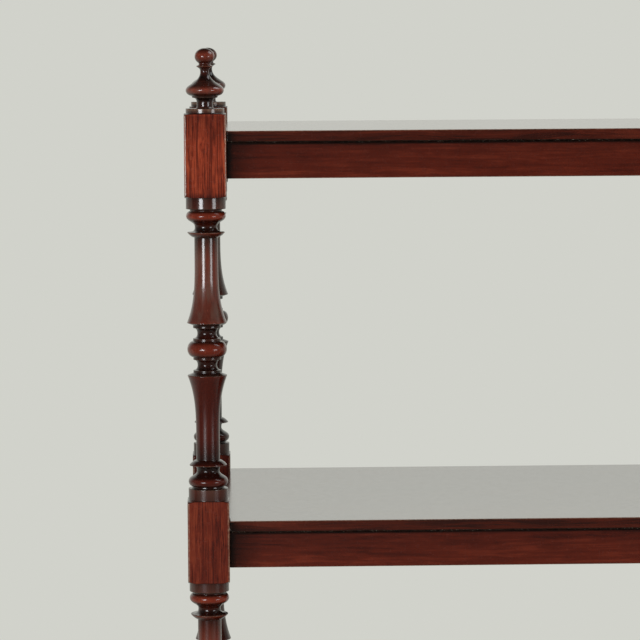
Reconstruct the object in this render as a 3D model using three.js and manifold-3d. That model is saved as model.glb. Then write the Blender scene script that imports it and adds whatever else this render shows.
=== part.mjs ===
// A three-tier mahogany etagere on brass castors, as an assembly of its separate pieces.
//
// Millimetres, +Z up, +X to the right and the front towards -Y. The origin is on the floor,
// under the middle of the shelves.

import * as THREE from "three";
import { mergeVertices } from "three/addons/utils/BufferGeometryUtils.js";
import Module from "manifold-3d";

const wasm = await Module();
wasm.setup();

// Overall sizes
const overallWidth = 1067; // over the outer faces of the posts
const overallDepth = 440; // over the outer faces of the posts
const lowShelfHeight = 235; // floor to the upper face of the bottom shelf
const tierPitch = 420; // from one shelf to the next
const tierNames = ["bottom", "middle", "top"];

// Clearances
const clearance = 0.3; // glue line, and the running gap of what turns
const notchClearance = 0.6; // between a board's notch and the block that it fits round
const overrun = 1; // how far a cut runs past the face that it opens

// Square blocks of the posts, where the shelves join
const blockSize = 45;
const blockRise = 21.7; // above the shelf, on the bottom and middle tiers
const topBlockRise = 18.5; // above the top shelf
const blockDrop = 16.4; // below the rails, on the bottom and middle tiers
const topBlockDrop = 20.4; // below the rails of the top tier
const shoulderLength = 3.2; // where the turner's cut takes the corners off a block's end
const shoulderDepth = 5;

// Shelves
const boardThickness = 12;
const boardRecess = 3.1; // from the outer face of a block back to the edge of a board
const boardOverhang = 3; // from the edge of a board back to the face of its rails
const railHeight = 38.7;
const railThickness = 20;
const tenonLength = 18;
const tenonThickness = 8;
const tenonShoulder = 5; // above and below a tenon
const glueBlockSize = 16;
const glueBlockLength = 70;
const glueBlockGap = 24; // from the inner face of a post to the end of a glue block

// Turned members of the spindles, in order from a block to the bulb in the middle of a bay
const turnedRadius = 21.3; // widest turning: beads, bell rims and bulb
const collarRadius = 21.4;
const upperCollarLength = 12.4; // on the spindles of the upper bay
const lowerCollarLength = 10.9; // on the spindles of the lower bay, and on the feet
const quirkLength = 2.4; // narrow groove beside the collar
const quirkRadius = 17.4;
const beadLength = 10.5;
const coveLength = 10.8;
const coveRadius = 12.1;
const ringLength = 7;
const ringRadius = 20.1;
const shaftRadius = 12.7;
const rimLength = 2.9; // undercut below the rim of the bell
const filletRadius = 15;
const rimFilletLength = 3.2;
const throatLength = 11.3;
const throatRadius = 10.4;
const bulbFilletLength = 3;
const bulbLength = 17;
const bellShare = 0.76; // of the length between the ring and the bell's rim
const bellPower = 3.2; // how late the bell flares
const ringRootShare = 0.74; // of the ring's radius, where the cove runs into it
const ringTipShare = 0.24; // of the ring's length, from the cove to its sharp edge

// Feet, below the bottom blocks
const footBellyRadius = 20.6;
const ankleRadius = 15.4;
const footNeckShare = 0.1; // of the length between the ring and the castor cup
const footBellyShare = 0.3;

// Finials
const capCollarLength = 5.4; // the disc turned on the very top of a post
const capCollarRadius = 20.7;
const dowelRadius = 5.5;
const dowelLength = 22;
const finialNeckRadius = 8.7;
const finialNeckLength = 6.6;
const finialFlareLength = 4.7;
const finialFlareRadius = 12.3;
const finialFilletRadius = 13.5;
const finialFilletLength = 2.1;
const finialBellyRadius = 20.5;
const finialBellyLength = 6.2; // from the fillet up to the widest place
const ogeeLength = 19.7; // from the widest place up to the thin neck
const ogeeRadius = 4.7;
const ogeeControlShares = [0.325, 0.4]; // places of the curve's two handles along its length
const finialRingLength = 9;
const finialRingRadius = 8.8;
const finialRingShares = [[0.42, 0.66], [0.66, 1], [0.84, 0.8]]; // of its length and radius
const ballRadius = 10.6;
const ballHeight = 17.8;
const ballSeatShare = 0.2; // of the turn from pole to pole that the neck takes up

// Castors
const wheelRadius = 16;
const wheelWidth = 12;
const hubRadius = 5.4;
const wheelDishShare = 0.8; // of the wheel's width, between the hub and the rim
const wheelWebShares = [0.48, 0.74, 0.84]; // of the wheel's radius, where its dished faces turn
const axleRadius = 2;
const axleHeadRadius = 3.6;
const axleHeadLength = 1.4;
const cheekThickness = 2.6;
const cheekNeck = 7; // half the width of a cheek where it leaves the plate
const cheekBossRadius = 5;
const castorTrail = 14; // from the swivel pin back to the axle
const hornRise = 23; // from the axle up to the top of the horn's plate
const plateRadius = 12;
const plateThickness = 3;
const pinRadius = 3;
const pinHeadRadius = 4.8;
const pinHeadLength = 2.2;
const cupWall = 2;
const cupFloor = 3;
const cupDepth = 22;
const cupFootRadius = 12.5;
const cupRimLength = 3;
const cupRimProud = 1.1;
const screwRadius = 1.5;
const screwHeadRadius = 2.8;
const screwHeadLength = 1.4;
const screwLength = 9;
const screwDrop = 5.6; // from the cup's rim band down to the middle of the screw

// How finely round forms are cut
const postSides = 12; // a multiple of four, so that a cut meets all four corners alike
const castorSides = 12;
const smallSides = 8;
const arcSteps = 4;
const quarterSteps = 2;
const longArcSteps = 6;
const bellSteps = 4;

// Places worked out from the sizes
const halfBlock = blockSize / 2;
const postX = overallWidth / 2 - halfBlock;
const postY = overallDepth / 2 - halfBlock;
const railRecess = boardRecess + boardOverhang;
const railCentre = halfBlock - railRecess - railThickness / 2; // outwards from a post's axis
const plateTop = wheelRadius + hornRise;
const cupBottom = plateTop + clearance;
const cupFloorTop = cupBottom + cupFloor;
const cupRimTop = cupFloorTop + cupDepth;
const spigotRadius = ankleRadius - cupWall / 2;
const cupBoreRadius = spigotRadius + clearance;
const cupRadius = cupBoreRadius + cupWall;
const screwHeight = cupRimTop - cupRimLength - screwDrop;

const tiers = tierNames.map((name, index) => {
  const top = index === tierNames.length - 1;
  const shelfTop = lowShelfHeight + index * tierPitch;
  const boardBottom = shelfTop - boardThickness;
  const railTop = boardBottom - clearance;
  const railBottom = railTop - railHeight;
  return {
    name,
    shelfTop,
    boardBottom,
    railTop,
    railBottom,
    blockTop: shelfTop + (top ? topBlockRise : blockRise),
    blockBottom: railBottom - (top ? topBlockDrop : blockDrop),
  };
});
const topTier = tiers[tiers.length - 1];
const postTop = topTier.blockTop + capCollarLength;

const corners = [
  { name: "front_left", x: -1, y: -1 },
  { name: "front_right", x: 1, y: -1 },
  { name: "back_left", x: -1, y: 1 },
  { name: "back_right", x: 1, y: 1 },
];

const finishes = {
  turned: { color: 0x4a1d12, roughness: 0.28, metalness: 0 },
  rail: { color: 0x55201a, roughness: 0.35, metalness: 0 },
  board: { color: 0x5a2a1c, roughness: 0.22, metalness: 0 },
  pine: { color: 0xa97b4a, roughness: 0.8, metalness: 0 },
  brass: { color: 0xa8823a, roughness: 0.35, metalness: 1 },
  steel: { color: 0x6d6a66, roughness: 0.45, metalness: 1 },
};

// The closed geometry as a solid that can be joined and cut.
function toSolid(geometry) {
  const bare = geometry.clone();
  bare.deleteAttribute("normal");
  bare.deleteAttribute("uv");
  const merged = mergeVertices(bare, 1e-4);
  return new wasm.Manifold(
    new wasm.Mesh({
      numProp: 3,
      vertProperties: merged.attributes.position.array,
      triVerts: new Uint32Array(merged.index.array),
    }),
  );
}

function toGeometry(solid) {
  const mesh = solid.getMesh();
  const geometry = new THREE.BufferGeometry();
  geometry.setAttribute("position", new THREE.BufferAttribute(mesh.vertProperties, 3));
  geometry.setIndex(new THREE.BufferAttribute(mesh.triVerts, 1));
  geometry.computeVertexNormals();
  return geometry;
}

// A box between two opposite corners, given in any order.
function boxBetween(a, b) {
  const size = a.map((value, axis) => Math.abs(b[axis] - value));
  const middle = a.map((value, axis) => (b[axis] + value) / 2);
  return new THREE.BoxGeometry(...size).translate(...middle);
}

// A turning about +Z from [height, radius] points that run upwards, closed on the axis at both
// ends. The turn is where round the axis its first edge lies.
function turning(outline, sides, turn = Math.PI / sides) {
  const first = outline[0][0];
  const last = outline[outline.length - 1][0];
  const points = [[first, 0], ...outline, [last, 0]].map(([z, r]) => new THREE.Vector2(r, z));
  return new THREE.LatheGeometry(points, sides, turn).rotateX(Math.PI / 2);
}

// A ring turned about +Z, from [height, radius] points that close on themselves.
function turnedRing(outline, sides) {
  const points = [...outline, outline[0]].map(([z, r]) => new THREE.Vector2(r, z));
  return new THREE.LatheGeometry(points, sides, Math.PI / sides).rotateX(Math.PI / 2);
}

// The corner radius of a faceted hole whose flats stay clear of a round of this radius.
function cornerRadius(radius, sides) {
  return radius / Math.cos(Math.PI / sides);
}

// A bead's outline: half an ellipse that swells from its edge radius to its full radius.
function beadOutline(start, length, edge, full) {
  return Array.from({ length: arcSteps + 1 }, (_, step) => {
    const turn = (Math.PI * step) / arcSteps;
    const along = (1 - Math.cos(turn)) / 2;
    return [start + length * along, edge + (full - edge) * Math.sin(turn)];
  });
}

// A cove's outline: a hollow between two edges that sinks to its waist half way.
function coveOutline(start, length, from, waist, to) {
  return Array.from({ length: arcSteps + 1 }, (_, step) => {
    const turn = (Math.PI * step) / arcSteps;
    const along = (1 - Math.cos(turn)) / 2;
    const edge = from + (to - from) * along;
    return [start + length * along, edge + (waist - edge) * Math.sin(turn)];
  });
}

// A bell's outline: a straight shaft that flares ever faster to its rim.
function bellOutline(start, length, shaft, rim) {
  return Array.from({ length: bellSteps + 1 }, (_, step) => {
    const along = Math.sqrt(step / bellSteps);
    return [start + length * along, shaft + (rim - shaft) * along ** bellPower];
  });
}

// Collar, quirk, bead, cove and ring, as [distance from the block, radius].
function headOutline(collarLength) {
  const beadStart = collarLength + quirkLength;
  const coveStart = beadStart + beadLength;
  const ringStart = coveStart + coveLength;
  const ringRoot = ringRadius * ringRootShare;
  return [
    [collarLength, collarRadius],
    [collarLength, quirkRadius],
    ...beadOutline(beadStart, beadLength, quirkRadius, turnedRadius),
    ...coveOutline(coveStart, coveLength, quirkRadius, coveRadius, ringRoot).slice(1),
    [ringStart + ringLength * ringTipShare, ringRadius],
    [ringStart + ringLength, shaftRadius],
  ];
}

function headLength(collarLength) {
  return collarLength + quirkLength + beadLength + coveLength + ringLength;
}

// Half a spindle, from a block to the middle of its bulb, as [distance from the block, radius].
function halfSpindleOutline(length, collarLength) {
  const bulbStart = length - bulbLength / 2;
  const bulbFilletStart = bulbStart - bulbFilletLength;
  const throatStart = bulbFilletStart - throatLength;
  const rimFilletStart = throatStart - rimFilletLength;
  const rim = rimFilletStart - rimLength;
  const free = rim - headLength(collarLength);
  const bellLength = free * bellShare;
  const bulb = beadOutline(bulbStart, bulbLength, filletRadius, turnedRadius);
  return [
    ...headOutline(collarLength),
    ...bellOutline(rim - bellLength, bellLength, shaftRadius, turnedRadius),
    [rimFilletStart, filletRadius],
    ...coveOutline(throatStart, throatLength, filletRadius, throatRadius, filletRadius),
    ...bulb.slice(0, arcSteps / 2 + 1),
  ];
}

// A whole spindle between the block below and the block above, from the bottom up.
function spindleOutline(low, high, collarLength) {
  const half = halfSpindleOutline((high - low) / 2, collarLength);
  const lowerHalf = half.map(([distance, r]) => [low + distance, r]);
  const upperHalf = half.map(([distance, r]) => [high - distance, r]).reverse();
  return [...lowerHalf, ...upperHalf.slice(1)];
}

// A foot from its spigot in the castor cup up to the bottom block.
function footOutline() {
  const blockBottom = tiers[0].blockBottom;
  const head = headOutline(lowerCollarLength).map(([distance, r]) => [blockBottom - distance, r]);
  const ankle = cupRimTop + clearance;
  const ringBottom = blockBottom - headLength(lowerCollarLength);
  const free = ringBottom - ankle;
  const belly = ringBottom - free * footBellyShare;
  const neck = ringBottom - free * footNeckShare;
  const taper = new THREE.CubicBezierCurve(
    new THREE.Vector2(ankle, ankleRadius),
    new THREE.Vector2((ankle + belly) / 2, ankleRadius),
    new THREE.Vector2((ankle + belly) / 2, footBellyRadius),
    new THREE.Vector2(belly, footBellyRadius),
  );
  return [
    [cupFloorTop + clearance, spigotRadius],
    [ankle, spigotRadius],
    ...taper.getPoints(arcSteps).map((point) => [point.x, point.y]),
    [(belly + neck) / 2, (footBellyRadius + shaftRadius) / 2],
    [neck, shaftRadius],
    ...head.reverse(),
  ];
}

// The outline of a whole post. Between two collars it runs on inside the block as one cylinder.
function postOutline() {
  const bays = tiers.slice(1).flatMap((tier, index) => {
    const below = tiers[index];
    const collarLength = tier === topTier ? upperCollarLength : lowerCollarLength;
    return spindleOutline(below.blockTop, tier.blockBottom, collarLength);
  });
  return [
    ...footOutline(),
    ...bays,
    [topTier.blockTop - capCollarLength, collarRadius],
    [topTier.blockTop - capCollarLength, capCollarRadius],
    [postTop, capCollarRadius],
  ];
}

// The square block of one tier, with the corners of its two ends taken off in the turning.
function blockSolid(tier) {
  const corner = halfBlock * Math.SQRT2 + overrun;
  const end = halfBlock * Math.SQRT2 - shoulderDepth;
  const block = toSolid(
    boxBetween([-halfBlock, -halfBlock, tier.blockBottom], [halfBlock, halfBlock, tier.blockTop]),
  );
  const shoulders = toSolid(
    turning(
      [
        [tier.blockBottom, end],
        [tier.blockBottom + shoulderLength, corner],
        [tier.blockTop - shoulderLength, corner],
        [tier.blockTop, end],
      ],
      postSides,
      Math.PI / 4,
    ),
  );
  return block.intersect(shoulders);
}

// The tenon of a rail as a box in the post's own frame: along says which rail, 0 for a long
// rail and 1 for a side rail, and gap widens it to the mortise that it fits.
function tenonBox(corner, tier, along, gap) {
  const inward = along === 0 ? -corner.x : -corner.y;
  const outward = along === 0 ? corner.y : corner.x;
  const reach = [inward * (halfBlock - tenonLength - gap), inward * (halfBlock + gap + clearance)];
  const side = [-1, 1].map((sign) => outward * railCentre + sign * (tenonThickness / 2 + gap));
  const low = tier.railBottom + tenonShoulder - gap;
  const high = tier.railTop - tenonShoulder + gap;
  return along === 0
    ? boxBetween([reach[0], side[0], low], [reach[1], side[1], high])
    : boxBetween([side[0], reach[0], low], [side[1], reach[1], high]);
}

// The cut for a round hole along +Z that clears a round of this radius.
function holeAlongZ(radius, low, high) {
  const corner = cornerRadius(radius + clearance, smallSides);
  return turning([[low, corner], [high, corner]], smallSides);
}

// The hole for a cup screw, level and on the side of the foot that faces the shelf's middle.
function screwHole(corner, from, to) {
  const hole = holeAlongZ(screwRadius, from, to);
  return hole.rotateX((corner.y * Math.PI) / 2).translate(0, 0, screwHeight);
}

function postGeometry(corner) {
  let post = toSolid(turning(postOutline(), postSides));
  for (const tier of tiers) {
    post = post.add(blockSolid(tier));
  }
  for (const tier of tiers) {
    for (const along of [0, 1]) {
      post = post.subtract(toSolid(tenonBox(corner, tier, along, clearance)));
    }
  }
  const dowelDepth = dowelLength + clearance;
  const dowelHole = holeAlongZ(dowelRadius, postTop - dowelDepth, postTop + overrun);
  const spigotEnd = cupFloorTop + clearance;
  const pinDepth = pinHeadLength + overrun;
  const pinHole = holeAlongZ(pinHeadRadius, spigotEnd - overrun, spigotEnd + pinDepth);
  const pilot = screwHole(corner, cupRadius - screwLength - clearance, cupRadius + overrun);
  for (const cut of [dowelHole, pinHole, pilot]) {
    post = post.subtract(toSolid(cut));
  }
  return toGeometry(post);
}

function finialGeometry() {
  const flareStart = finialNeckLength;
  const filletStart = flareStart + finialFlareLength;
  const bellyStart = filletStart + finialFilletLength;
  const widest = bellyStart + finialBellyLength;
  const ringStart = widest + ogeeLength;
  const ballStart = ringStart + finialRingLength;
  const ogee = new THREE.CubicBezierCurve(
    new THREE.Vector2(widest, finialBellyRadius),
    new THREE.Vector2(widest + ogeeLength * ogeeControlShares[0], finialBellyRadius),
    new THREE.Vector2(widest + ogeeLength * ogeeControlShares[1], ogeeRadius),
    new THREE.Vector2(ringStart, ogeeRadius),
  );
  const quarter = Array.from({ length: quarterSteps + 1 }, (_, step) => {
    return (Math.PI / 2) * (step / quarterSteps);
  });
  const flare = quarter.map((turn) => {
    const reach = (finialFlareRadius - finialNeckRadius) * (1 - Math.cos(turn));
    return [flareStart + finialFlareLength * Math.sin(turn), finialNeckRadius + reach];
  });
  const belly = quarter.slice(0, -1).map((turn) => {
    const reach = (finialBellyRadius - finialFilletRadius) * Math.sin(turn);
    return [bellyStart + finialBellyLength * (1 - Math.cos(turn)), finialFilletRadius + reach];
  });
  const ring = finialRingShares.map(([along, out]) => [
    ringStart + finialRingLength * along,
    finialRingRadius * out,
  ]);
  const seatTurn = Math.PI * ballSeatShare;
  const ballCentre = ballStart + (ballHeight / 2) * Math.cos(seatTurn);
  const ball = Array.from({ length: longArcSteps }, (_, step) => {
    const turn = seatTurn + ((Math.PI - seatTurn) * step) / longArcSteps;
    return [ballCentre - (ballHeight / 2) * Math.cos(turn), ballRadius * Math.sin(turn)];
  });
  const outline = [
    [-dowelLength, dowelRadius],
    [0, dowelRadius],
    [0, finialNeckRadius],
    ...flare,
    [filletStart, finialFilletRadius],
    ...belly,
    ...ogee.getPoints(longArcSteps).map((point) => [point.x, point.y]),
    ...ring,
    ...ball,
    [ballCentre + ballHeight / 2, 0],
  ];
  return turning(outline, postSides);
}

// A board with a notch at each corner, so that it fits between and round the four blocks.
function boardGeometry(tier) {
  const halfWidth = overallWidth / 2 - boardRecess;
  const halfDepth = overallDepth / 2 - boardRecess;
  const notchX = overallWidth / 2 - blockSize - notchClearance;
  const notchY = overallDepth / 2 - blockSize - notchClearance;
  const quarter = [[notchX, halfDepth], [notchX, notchY], [halfWidth, notchY]];
  const flipped = [...quarter].reverse();
  const outline = [
    ...quarter,
    ...flipped.map(([x, y]) => [x, -y]),
    ...quarter.map(([x, y]) => [-x, -y]),
    ...flipped.map(([x, y]) => [-x, y]),
  ];
  const shape = new THREE.Shape(outline.map(([x, y]) => new THREE.Vector2(x, y)));
  const board = new THREE.ExtrudeGeometry(shape, { depth: boardThickness, bevelEnabled: false });
  return board.translate(0, 0, tier.boardBottom);
}

// A rail with a tenon at each end, lying along X and centred on the origin in plan.
function railGeometry(tier, postSpacing) {
  const half = postSpacing / 2 - halfBlock - clearance;
  const side = railThickness / 2;
  const cheek = tenonThickness / 2;
  const tip = half + tenonLength + clearance;
  const body = toSolid(boxBetween([-half, -side, tier.railBottom], [half, side, tier.railTop]));
  const tenons = toSolid(
    boxBetween(
      [-tip, -cheek, tier.railBottom + tenonShoulder],
      [tip, cheek, tier.railTop - tenonShoulder],
    ),
  );
  return toGeometry(body.add(tenons));
}

// A three-cornered block glued into the angle between a long rail and the board above it.
function glueBlockGeometry(corner) {
  const shape = new THREE.Shape([
    new THREE.Vector2(0, 0),
    new THREE.Vector2(-corner.y * glueBlockSize, 0),
    new THREE.Vector2(0, -glueBlockSize),
  ]);
  const block = new THREE.ExtrudeGeometry(shape, { depth: glueBlockLength, bevelEnabled: false });
  return block.rotateX(Math.PI / 2).rotateZ(Math.PI / 2);
}

function cupGeometry(corner) {
  const holeRadius = cornerRadius(pinRadius + clearance, castorSides);
  const boreRadius = cornerRadius(cupBoreRadius, castorSides);
  const outline = [
    [cupBottom, holeRadius],
    [cupBottom, cupFootRadius],
    [cupFloorTop + cupFloor, cupRadius],
    [cupRimTop - cupRimLength, cupRadius],
    [cupRimTop - cupRimLength, cupRadius + cupRimProud],
    [cupRimTop, cupRadius + cupRimProud],
    [cupRimTop, boreRadius],
    [cupFloorTop, boreRadius],
    [cupFloorTop, holeRadius],
  ];
  const cup = toSolid(turnedRing(outline, castorSides));
  const hole = screwHole(corner, cupBoreRadius - overrun, cupRadius + cupRimProud + overrun);
  return toGeometry(cup.subtract(toSolid(hole)));
}

// A round-headed screw through the cup's wall into the foot, its head outside the cup.
function screwGeometry(corner) {
  const seat = cupRadius + clearance;
  const outline = [
    [cupRadius - screwLength, screwRadius],
    [seat, screwRadius],
    [seat, screwHeadRadius],
    [seat + screwHeadLength / 2, screwHeadRadius],
    [seat + screwHeadLength, screwRadius],
  ];
  const screw = turning(outline, smallSides).rotateX((corner.y * Math.PI) / 2);
  return screw.translate(0, 0, screwHeight);
}

// The swivelling horn: a riveted pin and a round plate, with two cheeks that hold the axle.
// Its axle lies castorTrail away along +X.
function hornGeometry() {
  const plateBottom = plateTop - plateThickness;
  const headBottom = cupFloorTop + clearance;
  const stem = toSolid(
    turning(
      [
        [plateBottom, plateRadius],
        [plateTop, plateRadius],
        [plateTop, pinRadius],
        [headBottom, pinRadius],
        [headBottom, pinHeadRadius],
        [headBottom + pinHeadLength - clearance, pinHeadRadius],
      ],
      castorSides,
    ),
  );
  const outline = new THREE.Shape();
  const join = plateBottom + plateThickness / 2;
  outline.moveTo(-cheekNeck, join);
  outline.lineTo(castorTrail - cheekBossRadius, wheelRadius);
  outline.absarc(castorTrail, wheelRadius, cheekBossRadius, Math.PI, 0, false);
  outline.lineTo(cheekNeck, join);
  const inner = wheelWidth / 2 + clearance;
  const holeReach = inner + cheekThickness + overrun;
  const hole = holeAlongZ(axleRadius, -holeReach, holeReach)
    .rotateX(Math.PI / 2)
    .translate(castorTrail, 0, wheelRadius);
  let horn = stem;
  for (const side of [-1, 1]) {
    const cheek = new THREE.ExtrudeGeometry(outline, {
      depth: cheekThickness,
      bevelEnabled: false,
      curveSegments: longArcSteps,
    }).rotateX(Math.PI / 2);
    cheek.translate(0, side > 0 ? inner + cheekThickness : -inner, 0);
    horn = horn.add(toSolid(cheek));
  }
  return toGeometry(horn.subtract(toSolid(hole)));
}

// The axle, riveted over at both ends outside the cheeks.
function axleGeometry() {
  const seat = wheelWidth / 2 + cheekThickness + clearance * 2;
  const half = [
    [seat, axleRadius],
    [seat, axleHeadRadius],
    [seat + axleHeadLength, axleRadius],
  ];
  const mirrored = half.map(([along, r]) => [-along, r]).reverse();
  return turning([...mirrored, ...half], smallSides).rotateX(Math.PI / 2);
}

// The wheel, with dished faces. Its flats, not its corners, lie at wheelRadius.
function wheelGeometry() {
  const half = wheelWidth / 2;
  const dish = half * wheelDishShare;
  const face = [
    [half, cornerRadius(axleRadius + clearance, castorSides)],
    [half, hubRadius],
    [dish, wheelRadius * wheelWebShares[0]],
    [dish, wheelRadius * wheelWebShares[1]],
    [half, wheelRadius * wheelWebShares[2]],
    [dish, cornerRadius(wheelRadius, castorSides)],
  ];
  const other = face.map(([along, r]) => [-along, r]);
  return turnedRing([...other, ...face.reverse()], castorSides).rotateX(Math.PI / 2);
}

const etagere = new THREE.Group();

// A named piece with its finish, added to a group.
function addPiece(group, name, geometry, finish) {
  const piece = new THREE.Mesh(geometry, new THREE.MeshStandardMaterial(finishes[finish]));
  piece.name = name;
  group.add(piece);
  return piece;
}

for (const corner of corners) {
  const leg = new THREE.Group();
  leg.position.set(corner.x * postX, corner.y * postY, 0);
  etagere.add(leg);
  addPiece(leg, `${corner.name}_post`, postGeometry(corner), "turned");
  const finial = addPiece(leg, `${corner.name}_finial`, finialGeometry(), "turned");
  finial.position.z = postTop + clearance;
  addPiece(leg, `${corner.name}_castor_cup`, cupGeometry(corner), "brass");
  addPiece(leg, `${corner.name}_castor_screw`, screwGeometry(corner), "brass");

  const castor = new THREE.Group();
  castor.rotation.z = corner.x > 0 ? Math.PI : 0; // both trails point to the shelf's middle
  leg.add(castor);
  addPiece(castor, `${corner.name}_castor_horn`, hornGeometry(), "brass");
  const axle = addPiece(castor, `${corner.name}_castor_axle`, axleGeometry(), "steel");
  const wheel = addPiece(castor, `${corner.name}_castor_wheel`, wheelGeometry(), "brass");
  for (const piece of [axle, wheel]) {
    piece.position.set(castorTrail, 0, wheelRadius);
  }
}

for (const tier of tiers) {
  const shelf = new THREE.Group();
  etagere.add(shelf);
  addPiece(shelf, `${tier.name}_shelf_board`, boardGeometry(tier), "board");
  for (const [side, sign] of [["front", -1], ["back", 1]]) {
    const rail = addPiece(shelf, `${tier.name}_${side}_rail`, railGeometry(tier, postX * 2), "rail");
    rail.position.y = sign * (postY + railCentre);
  }
  for (const [side, sign] of [["left", -1], ["right", 1]]) {
    const rail = addPiece(shelf, `${tier.name}_${side}_rail`, railGeometry(tier, postY * 2), "rail");
    rail.position.x = sign * (postX + railCentre);
    rail.rotation.z = Math.PI / 2;
  }
  for (const corner of corners) {
    const block = addPiece(
      shelf,
      `${tier.name}_${corner.name}_glue_block`,
      glueBlockGeometry(corner),
      "pine",
    );
    const innerFace = postY + railCentre - railThickness / 2 - clearance;
    const nearEnd = postX - halfBlock - glueBlockGap;
    const start = corner.x > 0 ? nearEnd - glueBlockLength : -nearEnd;
    block.position.set(start, corner.y * innerFace, tier.boardBottom - clearance);
  }
}

export default etagere;
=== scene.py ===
# A three-tier mahogany etagere on brass castors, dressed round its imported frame.
# Metres, +Z up, the front towards -Y.

import math

import bmesh
import bpy
from bpy.props import FloatProperty, FloatVectorProperty, IntProperty, PointerProperty
from mathutils import Matrix, Vector


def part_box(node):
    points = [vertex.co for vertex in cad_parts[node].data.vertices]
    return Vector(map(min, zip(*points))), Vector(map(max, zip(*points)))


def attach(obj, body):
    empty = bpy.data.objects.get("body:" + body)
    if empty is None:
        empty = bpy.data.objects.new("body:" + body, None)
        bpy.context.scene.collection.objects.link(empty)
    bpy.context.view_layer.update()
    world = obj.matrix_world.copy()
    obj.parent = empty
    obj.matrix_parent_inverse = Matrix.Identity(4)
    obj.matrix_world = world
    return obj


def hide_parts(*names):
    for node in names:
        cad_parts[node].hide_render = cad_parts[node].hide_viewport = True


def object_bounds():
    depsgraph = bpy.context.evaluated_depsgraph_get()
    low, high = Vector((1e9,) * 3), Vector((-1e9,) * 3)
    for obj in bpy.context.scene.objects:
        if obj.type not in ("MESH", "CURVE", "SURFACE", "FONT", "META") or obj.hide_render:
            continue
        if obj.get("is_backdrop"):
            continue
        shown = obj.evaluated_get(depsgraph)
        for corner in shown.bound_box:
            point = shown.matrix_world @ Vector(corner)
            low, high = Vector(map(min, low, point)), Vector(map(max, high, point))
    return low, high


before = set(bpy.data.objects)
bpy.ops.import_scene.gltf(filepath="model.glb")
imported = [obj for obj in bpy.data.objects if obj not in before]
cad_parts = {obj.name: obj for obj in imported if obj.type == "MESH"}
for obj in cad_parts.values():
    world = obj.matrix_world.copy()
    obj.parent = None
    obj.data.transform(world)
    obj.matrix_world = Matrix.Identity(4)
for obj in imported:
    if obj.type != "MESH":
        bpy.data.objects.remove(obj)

bl_info = {
    "name": "Turned Etagere",
    "version": (1, 0, 0),
    "blender": (4, 5, 0),
    "location": "3D View > Sidebar > Etagere",
    "description": "Dresses a three-tier mahogany etagere with turned posts on brass castors",
    "category": "Object",
}

CAD_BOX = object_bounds()
CORNERS = {
    "front_left": (-1, -1),
    "front_right": (1, -1),
    "back_left": (-1, 1),
    "back_right": (1, 1),
}
TIERS = ("bottom", "middle", "top")
STAND = "stand"
EASE = 0.0004  # how far a turned arris is eased
WELD = 1e-6  # points closer than this count as one
WORN_FROM = 0.972  # share of a stock's corner radius past which the corner is worn
ACROSS = (math.pi / 2, 0.0, 0.0)  # turns a turning's axis from +Z to -Y
LINE_MARKS = ("recess", "crest", "arris", "faded", "cloudy")  # what an outline's points carry


# What a user can change


def length(name, default, description):
    return FloatProperty(
        name=name,
        description=description,
        default=default,
        min=0.0,
        unit="LENGTH",
        subtype="DISTANCE",
        precision=4,
    )


def share(name, default, description):
    return FloatProperty(
        name=name, description=description, default=default, min=0.0, max=1.0, subtype="FACTOR"
    )


def tint(name, default, description):
    return FloatVectorProperty(
        name=name,
        description=description,
        default=default,
        min=0.0,
        max=1.0,
        size=3,
        subtype="COLOR",
    )


class EtagereTurning(bpy.types.PropertyGroup):
    columns: IntProperty(
        name="Columns", description="Columns of faces round a turning", default=96, min=16, max=256
    )
    block_rise: length("Block rise", 0.0217, "How far a lower block stands above its shelf")
    top_block_rise: length("Top block rise", 0.0185, "How far a top block stands above its shelf")
    block_drop: length("Block drop", 0.0164, "How far a lower block hangs below its rails")
    top_block_drop: length("Top block drop", 0.0204, "How far a top block hangs below its rails")
    shoulder_length: length("Shoulder length", 0.0032, "Where a block's corners are turned off")
    shoulder_depth: length("Shoulder depth", 0.005, "How deep a block's corners are turned off")
    arris: length("Arris", 0.0007, "How far a block's long corners are worn back")
    crest_radius: length("Crest radius", 0.0213, "Radius of the beads, bell rims and bulb")
    collar_radius: length("Collar radius", 0.0214, "Radius of the collars beside the blocks")
    upper_collar: length("Upper collar", 0.0124, "Length of the collars in the upper bay")
    lower_collar: length("Lower collar", 0.0109, "Length of the other collars")
    quirk_length: length("Quirk length", 0.0024, "Width of the groove beside a collar")
    quirk_radius: length("Quirk radius", 0.0174, "Radius at the bottom of that groove")
    bead_length: length("Bead length", 0.0105, "Length of the bead beside the groove")
    cove_length: length("Cove length", 0.0108, "Length of the cove beside the bead")
    cove_radius: length("Cove radius", 0.0121, "Waist radius of the cove")
    ring_length: length("Ring length", 0.007, "Length of the sharp ring")
    ring_radius: length("Ring radius", 0.0201, "Radius of the sharp ring")
    shaft_radius: length("Shaft radius", 0.0127, "Radius of the plain shaft")
    undercut: length("Undercut", 0.0029, "Depth of the undercut below a bell's rim")
    fillet_radius: length("Fillet radius", 0.015, "Radius of the flat fillets round a throat")
    rim_fillet: length("Rim fillet", 0.0032, "Length of the fillet by the bell")
    throat_length: length("Throat length", 0.0113, "Length of the throat")
    throat_radius: length("Throat radius", 0.0104, "Waist radius of the throat")
    bulb_fillet: length("Bulb fillet", 0.003, "Length of the fillet by the bulb")
    bulb_length: length("Bulb length", 0.017, "Length of the bulb in the middle of a bay")
    bell_share: share("Bell share", 0.76, "Share of the shaft that flares as a bell")
    bell_power: FloatProperty(
        name="Bell power", description="How late a bell flares", default=3.2, min=1.0, max=8.0
    )
    foot_belly: length("Foot belly", 0.0206, "Radius of a foot's belly")
    ankle: length("Ankle", 0.0154, "Radius of a foot above its castor cup")
    cap_length: length("Cap length", 0.0054, "Thickness of the disc on top of a post")
    cap_radius: length("Cap radius", 0.0207, "Radius of the disc on top of a post")


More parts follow.
